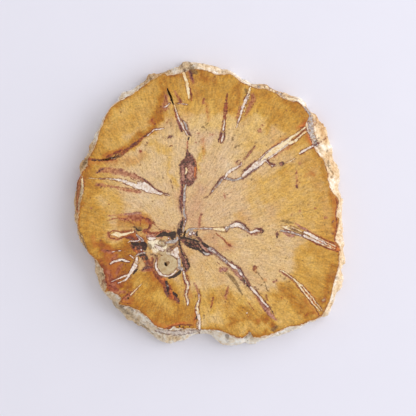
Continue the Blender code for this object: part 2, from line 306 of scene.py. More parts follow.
# The crystals and dark knots just north-east of the heart
HEART_KNOTS = (
    vein(OLIVE, (376,459,5), (374,465,4)), vein(GREY, (378,470,4), (383,468,8), (388,467,8), (391,470,5)),
    *spots(WHITE, (381,468,4.5), (388,467,4)), thread(GREY, 3.5, (374,465), (377,460), (392,457)),
    thread(GREY, 2.6, (392,457), (426,458)), thread(WHITE, 1.8, (409,456), (428,458)),
    # The first black here lies in a hollow: painted shade inside it
    vein(BLACK, (371,461,3.5), (368,473,4)), vein(BLACK, (394,463,4), (393,471,4)),
    thread(BLACK, 4.5, (361,478), (369,476), (392,482), (399,483)), vein(OLIVE, (376,473,2.8), (392,478,3)),
    thread(GREY, 2, (371,473), (393,481)), vein(PLUM, (392,475,2.8), (399,478,5), (404,483,4)),
    *spots(PLUM, (398,448,3), (403,429,3.5)), vein(BLUSH, (402,428,4), (398,452,5)),
)

# The great white vein of the north-east, forked at the rim, and the strands it ends in
NORTH_EAST_VEIN = (
    vein(WHITE, (578,282,9), (570,287,12), (540,308,14), (530,316,12), (520,324,12), (485,352,4)),
    vein(CREAM, (580,280,5), (550,300,10), (522,321,2)), thread(WHITE, 2, (568,295), (544,312)),
    vein(CREAM, (580,277,4), (612,254,2.4)), vein(CREAM, (579,287,4), (586,284,5), (614,261,2.4)),
    thread(WHITE, 1.8, (582,286), (606,267)), thread(WHITE, 1.6, (582,275), (606,258)),
    vein(HALO, (592,274,5), (612,258,6)), vein(HALO, (580,293,7), (572,298,4)),
    thread(RUST, 3, (584,280), (612,258)), thread(ORANGE, 1.8, (593,275), (602,268)),
    thread(RUST, 2.2, (616,263), (586,288), (580,291)), thread(BLUSH, 4, (580,292), (544,316)),
    thread(RUST, 1.6, (576,276), (540,298), (520,315)), vein(HALO, (572,275,6), (544,294,4)),
    thread(PLUM, 2.2, (536,320), (490,355), (482,357)), thread(GREY, 4, (514,336), (506,341), (492,350)),
    thread(MAUVE, 1.6, (524,319), (508,332)), thread(PLUM, 4, (510,322), (489,341), (487,344)),
    vein(GREY, (484,355,4), (468,360,3.5), (448,356,6)), vein(WHITE, (449,356,3.5)),
    thread(RUST, 1.8, (453,354), (462,357), (472,356)),
    vein(WHITE, (451,352,2.8), (462,341,4.5), (480,330,1.6), (484,324,1.4)),
    vein(BLUSH, (476,334,4), (484,325,4)), vein(PLUM, (474,324,3.5), (476,322,4)),
    vein(BLUSH, (480,321,3), (472,325,5)), thread(PLUM, 2.4, (486,320), (510,292)),
    thread(RUST, 1.8, (492,317), (499,310), (507,298)), thread(MAUVE, 2, (494,314), (503,303)),
    vein(BLUSH, (488,318,4), (508,295,4)),
    vein(PLUM, (445,353,2.8), (436,364,4), (426,376,2.2), (420,389,2.4), (409,396,1.6)),
    vein(GREY, (445,359,3.5), (423,385,1.8)),
)

# The iron stains where the forked vein meets the rim
NORTH_EAST_STAINS = (
    vein(HALO, (595,255,8), (609,249,12), (614,238,6)),
    vein(ORANGE, (598,254,3), (605,251,5), (610,245,3.5)), vein(RUST, (600,256,2.4), (608,253,3)),
    vein(RUST, (606,249,2.4), (613,244,2.4)), vein(HALO, (618,268,8), (616,276,12), (626,292,7)),
    thread(ORANGE, 3.5, (617,269), (620,281), (625,289)), thread(RUST, 3, (619,272), (629,295), (634,297)),
    thread(WHITE, 4, (599,307), (614,298), (628,290)), thread(RUST, 2, (600,310), (617,300)),
    thread(PLUM, 2, (620,298), (632,294)), thread(CREAM, 1.8, (571,326), (580,323), (589,317)),
    thread(WHITE, 1.8, (531,321), (542,331), (552,331)), vein(PLUM, (535,322,3), (544,328,4), (549,329,4)),
    vein(PLUM, (560,329,5), (563,328,8), (567,327,4.5)), vein(MAUVE, (562,329,4.5)),
    vein(PLUM, (593,347,3)), vein(PLUM, (594,370,2.6), (594,375,2.6)),
    vein(BLUSH, (593,340,3), (594,376,4)), *spots(RUST, (599,365,4.5), (625,345,3)),
    vein(HALO, (622,345,9), (628,351,8)), vein(HALO, (613,350,6)), vein(BLUSH, (599,327,5)),
)
NORTH_EAST_RIND = (
    vein(GREY, (611,214,2), (621,236,9), (623,264,10), (634,290,4)),
    *spots(BUFF, (622,231,5), (619,243,6), (624,252,6), (620,261,5.5), (627,268,5), (625,239,5),
        (630,278,5)), vein(WHITE, (312,661,2.8), (348,667,7), (396,662,2.8)),
    *spots(CREAM, (534,173,6), (542,179,6), (548,182,5)),
    *spots(GREY, (518,174,4.5), (555,185,5), (562,187,5)),
    *spots(OLIVE, (512,174,3), (569,191,4), (525,175,2.8), (623,244,2.6), (629,262,3), (627,253,2.4),
        (620,235,2), (632,270,3), (638,254,2.4), (641,290,3), (494,681,2), (344,674,2)),
    vein(WHITE, (564,193,3)), vein(CREAM, (572,195,4), (580,197,6), (591,199,5)),
    thread(OLIVE, 2, (592,203), (600,206), (616,223)),
    *spots(GREY, (594,206,3), (609,215,2.8), (625,234,5), (619,254,5), (622,267,5), (632,242,2.8)),
    # Black spots at the rind's pits and crevices: painted shade in them
    *spots(BLACK, (635,280,3.5), (639,276,3), (630,284,3), (633,289,3), (627,272,2), (638,295,2)),
    thread(OLIVE, 2.8, (655,298), (654,315)),
    thread(OLIVE, 3.5, (658,320), (657,330), (661,340), (668,348)),
    # More black spots at pits of the rind: painted shade in them
    *spots(BLACK, (655,310,2), (661,331,3), (659,321,2.2), (661,343,2), (294,658,2.2), (245,620,2.4),
        (255,627,2.6)), thread(OLIVE, 2.4, (280,645), (306,670)), thread(OLIVE, 2, (292,642), (302,649)),
    thread(OLIVE, 1.8, (454,685), (464,683)),
)

# The red vein and the white vein of the north
NORTH_VEINS = (
    vein(RUST, (454,187,3), (454,194,5), (453,207,3)),
    vein(RUST, (448,207,2.8), (448,222,2), (443,260,2.4)),
    vein(RUST, (453,210,3), (453,217,5), (451,240,1.8), (451,255,2)),
    vein(RUST, (443,263,3), (437,283,4.5)), vein(PLUM, (443,262,2), (437,282,2.8)),
    thread(PLUM, 2.8, (450,254), (448,277), (445,285)), vein(BLUSH, (452,208,8), (450,236,6)),
    vein(BLUSH, (442,268,6), (438,284,4)), vein(WHITE, (449,239,1.8), (447,260,2.8)),
    thread(WHITE, 3, (446,266), (444,278), (443,285)), thread(RUST, 2, (405,208), (406,201), (409,197)),
    vein(BLUSH, (408,198,6), (406,208,5)), thread(RUST, 2.2, (412,205), (415,228)),
    vein(HALO, (413,208,5), (417,242,4)), thread(CREAM, 4, (502,174), (499,181), (493,196)),
    vein(ORANGE, (501,172,3.5)), vein(WHITE, (497,187,2), (489,205,5), (473,255,1.4)),
    thread(CREAM, 1.8, (501,185), (488,224)), vein(BLUSH, (504,188,4), (506,198,10), (495,223,6)),
    thread(RUST, 2, (503,188), (503,196), (500,212)), thread(RUST, 1.8, (509,191), (512,200), (503,216)),
    vein(RUST, (489,231,3)), vein(BLUSH, (491,229,7)), vein(BLUSH, (481,212,4), (474,236,4)),
    vein(OLIVE, (492,179,5), (493,186,5)),
)

# Lone specks of the northern half
NORTH_SPECKS = (
    *spots(RUST, (520,257,4), (218,408,3.5), (210,512,2.6), (208,502,3)),
    *spots(BLUSH, (519,261,9), (525,251,4), (391,285,4), (397,267,4), (281,302,8), (182,417,5)),
    vein(OLIVE, (464,276,4), (466,280,5.5)),
    *spots(OLIVE, (513,285,4), (533,290,2.8), (504,359,4.5), (413,260,3), (395,261,3), (415,266,2.4),
        (399,283,3), (406,297,3), (561,273,2.4), (268,318,3), (246,327,3), (335,315,2.6), (300,203,2),
        (265,262,2), (327,199,2.2), (190,424,3)), vein(OLIVE, (418,246,2.6), (412,250,2.2)),
    vein(OLIVE, (407,254,4.5), (403,255,2.2)), vein(BLUSH, (419,269,3), (425,268,3)),
    vein(OLIVE, (470,295,4), (484,287,1.8)), vein(HALO, (406,278,6), (408,316,4)), vein(HALO, (566,274,6)),
    *spots(PLUM, (574,221,2.8), (294,286,3.5), (292,291,3), (201,481,2.8)),
    vein(RUST, (283,301,3), (280,303,4)), thread(PLUM, 3, (325,275), (331,277)),
    thread(PLUM, 4.5, (336,276), (340,274), (345,272)), vein(OLIVE, (337,281,2), (338,286,1.8)),
    vein(RUST, (339,293,2.2), (343,291,3.5)), vein(OLIVE, (341,359,2), (347,383,1.6)),
    vein(PLUM, (342,363,1.2), (345,374,1.4)), vein(OLIVE, (338,242,1.6), (342,252,1.8)),
    vein(BLUSH, (447,387,3), (450,396,3)), vein(OLIVE, (459,423,1.6), (460,438,1.6)),
    vein(HALO, (186,476,10), (190,490,10)),
)

# The short vein of the east, in three beads
EAST_VEIN = (
    vein(GREY, (402,457,2.4), (428,458,3.5)), thread(WHITE, 2, (408,456), (428,458)),
    vein(CREAM, (426,458,2.4), (433,458,5), (449,459,5)), thread(OLIVE, 1.6, (424,456), (451,453)),
    thread(OLIVE, 1.6, (428,462), (447,464)), vein(GREY, (453,457,7)), vein(WHITE, (452,456,4)),
    thread(PLUM, 2.8, (449,462), (453,463), (456,461)),
    vein(GREY, (458,454,2.8), (464,452,7), (476,450,9), (487,455,6), (496,464,3)),
    vein(WHITE, (462,452,3), (468,451,7), (476,450,7), (488,456,2.4)),
    vein(PLUM, (464,445,1.8), (472,443,2.4), (487,448,3.5), (499,462,2.6)),
    thread(PLUM, 1.6, (489,458), (501,468), (508,467), (525,466)),
    vein(PLUM, (506,459,1.8), (512,457,2.4), (523,460,5), (525,464,4.5)), vein(PLUM, (520,461,4.5)),
    thread(WHITE, 3.5, (498,464), (504,465), (514,461), (519,463)),
    vein(BLUSH, (492,463,4), (508,470,3), (524,456,4)), vein(PLUM, (554,467,6), (554,473,8)),
    vein(BLACK, (554,474,4)), vein(BLUSH, (556,463,3)), thread(RUST, 4, (432,466), (457,489), (463,492)),
    vein(HALO, (448,480,3), (460,491,6)),
)

# The long hatched vein that runs to the eastern rim
HATCHED_VEIN = (
    vein(OLIVE, (561,442,3), (576,443,7), (589,448,2)), vein(BLUSH, (565,464,4), (590,471,4)),
    vein(MAUVE, (566,465,2.4), (580,471,6), (587,472,3.5)),
    thread(MAUVE, 4, (594,451), (610,459), (618,464)), thread(PLUM, 1.6, (598,455), (619,463)),
    vein(BLUSH, (592,449,4), (624,466,3)), vein(CREAM, (563,453,2), (578,457,5), (584,459,2.8)),
    thread(CREAM, 1.8, (572,452), (582,454), (604,463)), thread(WHITE, 2.2, (567,456), (577,458)),
    thread(OLIVE, 4.5, (577,456), (592,461), (611,468)), thread(RUST, 1.6, (579,455), (609,465)),
    thread(GREY, 4.5, (562,461), (576,463), (609,473)), thread(WHITE, 2, (570,461), (602,470)),
    vein(ORANGE, (632,476,3), (639,481,8), (654,488,11), (671,496,9), (677,499,5)),
    vein(WHITE, (608,464,2.4), (616,467,5), (639,480,5), (652,488,2)),
    thread(WHITE, 4, (607,471), (614,474), (646,490)), thread(PLUM, 1.8, (608,468), (642,484)),
    thread(CREAM, 2.6, (638,477), (672,493)), thread(CREAM, 2.4, (642,489), (666,498)),
    thread(CREAM, 2, (648,486), (670,497)), thread(RUST, 1.8, (642,479), (675,497)),
    thread(RUST, 1.6, (650,491), (674,500)),
    vein(RUST, (612,461,1.6), (652,480,2.8), (671,488,2.8), (678,496,3)),
    thread(RUST, 3.5, (606,474), (646,493), (676,503)), vein(HALO, (624,467,4), (656,488,18), (676,497,14)),
)

# The eastern rim and its specks
EAST_RIM = (
    thread(RUST, 3.5, (671,396), (674,406), (674,416), (672,426), (674,444), (670,478), (675,488)),
    vein(HALO, (666,392,8), (670,408,10), (668,472,7)), vein(BLACK, (675,412,2.2)),
    *spots(PLUM, (677,517,3), (666,468,2.8)), *spots(BLUSH, (630,417,5), (599,422,4), (583,430,3)),
    *spots(OLIVE, (653,468,3.5), (641,433,2.4), (649,449,2.8), (572,516,3.5), (576,512,2), (605,521,2.6),
        (541,497,2.8), (559,488,2.2), (605,482,2)), vein(OLIVE, (605,431,3), (606,435,1.8)),
    vein(BLUSH, (649,436,6), (654,435,4)), vein(PLUM, (668,441,2.4), (664,445,1.6)),
    vein(RUST, (650,322,2), (657,344,2.4), (658,362,2.2), (666,382,2.2)),
)

# The cream vein of the south-east
SOUTH_EAST_VEIN = (
    vein(ORANGE, (600,574,4), (616,591,6), (632,611,3)),
    thread(CREAM, 2.6, (560,541), (568,544), (591,562), (612,590), (640,622)),
    thread(CREAM, 2.2, (592,562), (608,576), (644,620)),
    thread(WHITE, 1.8, (574,548), (586,558), (603,576)), vein(BLUSH, (560,542,5), (584,556,6)),
    thread(RUST, 1.8, (603,575), (619,594)),
    vein(RUST, (564,546,1.6), (584,561,2.2), (626,610,3), (638,630,3)),
    vein(RUST, (568,542,1.4), (603,568,1.8), (643,617,1.8)), vein(HALO, (610,600,5), (636,632,7)),
    vein(HALO, (608,574,6), (630,598,4)), vein(RUST, (630,638,2), (644,631,2.8)),
    vein(OLIVE, (644,623,2.4), (650,624,3)), vein(BUFF, (647,600,6)), vein(BLUSH, (648,600,9)),
)

# Specks and wisps of the south-east
SOUTH_EAST_SPECKS = (
    vein(OLIVE, (509,534,6), (508,539,6)), vein(RUST, (507,541,2.6), (510,531,2.8)),
    vein(RUST, (514,534,2.2), (512,538,2.2)),
    *spots(PLUM, (508,533,3), (507,538,2.4), (548,564,2.2), (554,560,2.4)),
    vein(HALO, (509,537,8), (512,545,6)),
    vein(OLIVE, (511,545,3), (516,547,2.4), (529,564,2.2), (534,579,2.4), (538,583,2.2)),
    *spots(HALO, (530,559,6), (564,595,6), (518,641,8)), vein(OLIVE, (523,569,3), (520,572,2)),
    vein(BLUSH, (547,564,5), (555,561,4)), thread(RUST, 4, (532,590), (534,596), (536,601)),
    vein(PLUM, (533,592,2), (534,597,1.8)),
    *spots(RUST, (563,595,2.2), (575,603,2.8), (573,607,2.2), (536,637,2.8), (485,621,2)),
    *spots(OLIVE, (569,557,4), (561,551,3), (486,616,2.8)),
    vein(RUST, (496,604,2.4), (508,620,1.8), (513,623,2.4)), vein(WHITE, (494,626,3)),
    vein(OLIVE, (451,546,3), (465,557,9), (485,590,2)), vein(BLUSH, (439,541,6), (445,538,11), (452,538,8)),
    vein(MAUVE, (440,542,4), (446,538,7), (452,538,5)),
    *spots(PLUM, (441,542,3), (445,537,2.8), (450,542,3), (452,536,2.2), (446,546,2)),
    vein(RUST, (434,524,1.8), (439,528,2.2)), vein(RUST, (457,571,1.8), (450,592,2)),
    vein(BLUSH, (455,576,4), (451,594,6)), vein(RUST, (449,597,2.6), (455,599,2)),
    thread(RUST, 4.5, (426,594), (425,601), (421,616)), vein(PLUM, (425,601,2.2)),
    vein(OLIVE, (418,622,1.6), (408,638,1.8)), vein(OLIVE, (545,660,8), (554,653,6)),
    vein(PLUM, (546,661,3)), vein(RUST, (549,654,3)),
)

# The heart of the log: pith, ring and the dark and pale fillings around it
HEART = (
    # The black at the pith is painted shade in its hollow
    vein(BUFF, (335,529,40)), vein(OLIVE, (333,528,10), (337,524,6)), vein(BLACK, (330,527,4), (331,531,4)),
    vein(WHITE, (312,492,4), (319,497,7), (326,500,5)),
    vein(BUFF, (316,505,4), (332,506,8), (337,495,8), (336,487,6)),
    vein(RUST, (305,515,3.5), (307,544,5.5), (326,567,6)),
    vein(HALO, (300,516,6), (303,548,6), (312,560,6)), thread(PLUM, 1.8, (308,516), (312,545), (326,556)),
    vein(BLACK, (337,556,2.4), (343,555,5), (357,546,7), (361,542,4.5)),
    thread(RUST, 2, (328,557), (344,558)), vein(GREY, (357,536,4.5), (362,537,6), (366,541,3.5)),
    vein(WHITE, (312,517,1.4), (312,533,3.5), (320,547,4), (334,552,3.5), (342,550,2.8), (354,540,2)),
    vein(MAUVE, (294,473,5), (302,473,7), (324,475,4)),
    vein(WHITE, (295,476,2.8), (302,477,5), (310,477,3.5)),
    vein(GREY, (332,485,4), (347,483,7), (353,479,6), (354,474,3.5)), vein(WHITE, (337,477,3)),
    thread(BLACK, 1.8, (335,480), (347,479)),
    thread(OLIVE, 4.5, (317,486), (320,482), (326,481), (330,486), (327,491), (321,491), (317,486)),
    vein(BUFF, (324,486,5)), thread(RUST, 2, (304,474), (322,465), (340,465)),
    vein(BLACK, (313,474,3.5), (327,468,10), (339,471,5)),
    vein(BLACK, (339,470,6), (344,470,12), (349,466,7)), vein(BLACK, (343,476,6), (348,473,5.5)),
    vein(BLACK, (354,469,3)),
    vein(RUST, (286,462,2.8), (296,464,4.5), (306,467,4.5), (330,461,2.4), (342,462,2)),
    vein(BLUSH, (288,462,8), (304,468,8), (340,462,5)), vein(ORANGE, (293,467,3.5)),
    vein(PLUM, (353,487,2.4), (349,491,4), (337,497,5), (334,507,4)),
    vein(OLIVE, (352,488,2), (348,492,2.4), (342,494,2.8), (337,498,3.5), (334,503,3), (335,507,2.4)),
    vein(WHITE, (354,494,3), (350,504,13), (347,506,12), (352,510,10), (356,515,5)),
    thread(MAUVE, 3, (349,502), (346,507), (352,511)), thread(BLACK, 2, (339,509), (355,520)),
    thread(PLUM, 2.6, (339,504), (348,496)), vein(GREY, (358,514,3.5), (359,521,6), (359,534,4)),
    thread(WHITE, 1.8, (357,500), (359,516)), thread(OLIVE, 3, (297,506), (313,510), (316,515)),
    thread(OLIVE, 2.6, (314,507), (321,508), (329,514)),
    thread(PLUM, 2, (300,509), (309,510), (314,516), (314,522)),
)

# The red spur under the heart
RED_SPUR = (
    vein(HALO, (314,544,10), (336,580,16), (348,598,12)),
    vein(RUST, (318,555,6), (330,568,14), (343,591,14), (359,607,2.8)),
    vein(ORANGE, (341,580,3), (346,596,4.5)), vein(ORANGE, (325,559,5), (332,558,4)),
    vein(BLACK, (333,563,5), (334,570,7), (336,582,3.5)), vein(BLACK, (335,585,4), (336,589,4)),
    vein(PLUM, (331,576,4), (334,591,5)), vein(BLACK, (347,584,4), (351,589,6), (354,593,3.5)),
    vein(PLUM, (353,597,6), (357,603,4.5)), vein(GREY, (334,569,2.4), (336,575,2)),
)

# Two pale strands that run south
SOUTH_STRANDS = (
    vein(BLUSH, (368,550,8), (374,568,9), (372,586,7), (376,604,6)),
    vein(WHITE, (367,543,2.8), (370,558,4), (376,569,4.5), (376,577,3.5), (371,589,3.5), (376,602,4),
        (375,610,1.6)),
    vein(CREAM, (369,546,1.6), (371,560,1.8), (375,568,2.4), (372,590,1.8), (375,602,2.2)),
    thread(RUST, 1.8, (372,550), (375,559), (380,567), (380,576), (376,584), (375,589)),
    vein(RUST, (365,552,1.6), (367,562,1.6), (372,570,1.6), (372,577,1.6), (368,585,1.6), (369,594,1.4)),
    thread(RUST, 1.8, (378,550), (379,564)), vein(HALO, (380,586,5), (383,594,4)),
    thread(MAUVE, 2.2, (389,566), (396,582), (398,590)), vein(BLUSH, (390,568,4), (400,598,4)),
    thread(RUST, 1.8, (392,569), (401,587), (401,608)),
    vein(WHITE, (398,588,1.4), (397,604,3.5), (394,619,8), (398,634,4.5), (399,658,4.5)),
    thread(CREAM, 4.5, (397,606), (395,616), (397,626)), thread(CREAM, 1.8, (395,642), (394,657)),
    vein(BLACK, (394,633,2.8), (392,638,4.5)), vein(RUST, (393,627,2), (388,642,3)),
    vein(ORANGE, (391,630,2), (390,647,2.4)), vein(HALO, (390,624,6), (388,650,8)),
    thread(RUST, 3.5, (316,658), (332,657), (352,650), (376,650), (386,652)),
    thread(ORANGE, 3, (328,654), (360,646), (376,647)),
    *spots(BLACK, (340,657,3), (359,653,3.5), (366,655,3.5), (380,653,3.5)),
    thread(RUST, 2.2, (320,656), (308,649), (294,635)), vein(HALO, (292,630,5), (308,646,7), (330,652,7)),
    vein(HALO, (356,646,6), (380,644,6)),
)

# The swirl of jasper west of the heart
WEST_SWIRL = (
    vein(HALO, (236,434,6), (282,438,18), (294,444,14)), thread(BLUSH, 4, (216,432), (252,428)),
    vein(MAUVE, (248,430,3), (270,426,5), (282,425,2.8)), vein(PLUM, (264,426,1.6), (280,424,1.8)),
    thread(RUST, 2.4, (210,442), (236,436), (248,438), (264,446)), thread(RUST, 1.6, (226,435), (250,443)),
    vein(BLUSH, (238,438,5), (252,439,6), (262,434,12), (272,435,16), (282,434,10)),
    thread(RUST, 2.6, (259,432), (270,452)), thread(RUST, 2.2, (272,428), (298,439)),
    thread(RUST, 2.6, (273,438), (279,439), (281,445), (279,452)),
    vein(RUST, (282,438,2.8), (290,437,3.5), (297,442,5), (300,449,5), (297,457,5.5), (288,460,4)),
    vein(BLUSH, (294,440,6), (302,450,6), (296,462,8)), *spots(PLUM, (299,439,3.5), (292,458,3)),
    vein(OLIVE, (268,454,6), (275,457,11), (282,458,8)),
    thread(BLACK, 3.5, (269,453), (275,460), (282,460)), thread(RUST, 1.8, (299,439), (314,454), (322,459)),
    thread(RUST, 1.6, (295,435), (314,448)), vein(HALO, (216,472,10), (232,476,12), (268,468,8)),
    vein(CREAM, (222,469,2), (234,468,8), (239,471,8), (245,469,5), (267,464,2.4)),
    thread(RUST, 3, (218,467), (222,463), (232,462), (242,464), (264,460)),
    vein(RUST, (218,469,4), (220,475,4), (235,479,3), (252,473,2.2)), vein(BLUSH, (217,464,5), (217,473,6)),
    vein(RUST, (252,475,4), (260,475,9), (268,476,9), (274,479,5)), thread(PLUM, 4.5, (256,474), (269,478)),
    vein(ORANGE, (271,471,3.5)), *spots(PLUM, (270,463,4), (273,466,3)),
    vein(GREY, (273,469,2.4), (282,478,5), (289,487,2.8)), thread(WHITE, 2.2, (275,473), (284,484)),
    thread(WHITE, 2, (256,485), (262,482), (276,482)),
)

# The black crystals and the white branch of the south-west
SOUTH_WEST_BRANCH = (
    vein(RUST, (265,492,8), (271,498,13), (279,503,12), (287,513,14), (298,530,12), (295,538,8)),
    vein(PLUM, (264,486,5), (269,487,8), (284,489,8)), vein(PLUM, (264,488,8), (272,492,15), (282,494,12)),
    vein(OLIVE, (299,492,9)), vein(BLACK, (284,487,8), (289,491,12), (289,497,8)),
    vein(BLACK, (263,486,5), (270,488,7), (277,488,6)), *spots(BLACK, (268,495,4), (278,497,3.5)),
    *spots(RUST, (263,493,3.5), (274,494,3)),
    *spots(BLACK, (279,492,3), (266,495,3), (293,517,8), (285,517,3)),
    *spots(ORANGE, (271,497,4), (273,503,3.5), (289,523,3)),
    vein(OLIVE, (298,488,5), (301,493,7), (299,499,3.5)), vein(WHITE, (282,500,3.5)),
    thread(WHITE, 2.4, (260,511), (267,517)), thread(GREY, 4, (270,513), (282,507), (291,505)),
    thread(WHITE, 2, (272,512), (285,506)), vein(BLACK, (279,512,2.8), (290,509,4)),
    vein(WHITE, (275,515,3), (271,530,8), (250,562,2.4)), thread(GREY, 1.8, (274,522), (270,534)),
    thread(RUST, 3, (270,517), (265,531), (257,545)), thread(PLUM, 2, (268,520), (264,534)),
    thread(PLUM, 2.4, (278,524), (273,538)), vein(BLACK, (274,537,2.4), (271,542,5), (267,548,3)),
    thread(PLUM, 1.8, (266,549), (258,560)), vein(WHITE, (257,549,2.4), (223,563,1.2)),
    vein(WHITE, (254,558,2.8), (235,567,1.2)), thread(PLUM, 1.8, (224,559), (254,547)),
    thread(RUST, 2.8, (226,565), (246,557)), thread(RUST, 2.6, (238,570), (253,562)),
    thread(WHITE, 4, (221,528), (234,521), (242,520), (258,523)), thread(PLUM, 1.8, (222,525), (239,518)),
    thread(BLACK, 1.8, (238,523), (245,522), (251,524)), thread(WHITE, 1.8, (224,504), (242,501)),
    vein(BLUSH, (206,501,6), (226,506,5)), thread(PLUM, 2, (207,502), (222,501)),
    vein(BLUSH, (224,519,8), (236,509,4)), vein(BLUSH, (244,528,6), (232,548,6)),
    vein(PLUM, (285,540,3), (289,537,5), (297,534,7), (303,536,4)), *spots(PLUM, (294,527,5), (302,526,4)),
    vein(BLUSH, (282,541,5), (302,540,6)), vein(CREAM, (261,590,2.6), (283,568,1)),
    vein(BLUSH, (252,597,10), (276,576,3)), vein(OLIVE, (254,597,3.5), (257,596,3.5)),
    thread(RUST, 2.8, (239,607), (249,593), (264,583)), thread(RUST, 2.4, (242,606), (266,607)),
    vein(HALO, (248,600,16), (260,602,12)), vein(HALO, (216,500,18), (226,524,28), (226,572,24)),
    vein(BLUSH, (222,582,6), (234,583,10), (248,584,7)), vein(BLUSH, (216,544,8), (228,576,10)),
    vein(RUST, (210,548,2.4), (213,562,6), (218,573,10), (228,578,8), (238,580,3)),
    *spots(PLUM, (213,568,3.5), (219,578,3.5), (225,573,3)), thread(RUST, 1.8, (220,542), (223,562)),
    thread(RUST, 1.8, (234,536), (236,546), (235,554)), thread(RUST, 1.8, (251,528), (252,536), (250,546)),
    thread(RUST, 2.6, (207,536), (210,554)),
)

FACE_VEINS: tuple[Vein, ...] = (
    ARC_CRACK + WEST_WEDGE + WEST_RIM + NEEDLE + OPEN_CRACK + NORTH_SEAM + TEARDROP + HEART_STRANDS
    + SOUTH_VEIN + GREAT_VEIN + HEART_KNOTS + NORTH_EAST_VEIN + NORTH_EAST_STAINS + NORTH_VEINS
    + NORTH_SPECKS + EAST_VEIN + HATCHED_VEIN + EAST_RIM + SOUTH_EAST_VEIN + SOUTH_EAST_SPECKS
    + HEART + RED_SPUR + SOUTH_STRANDS + WEST_SWIRL + SOUTH_WEST_BRANCH
)
RIND_VEINS: tuple[Vein, ...] = WEST_RIND + NORTH_EAST_RIND

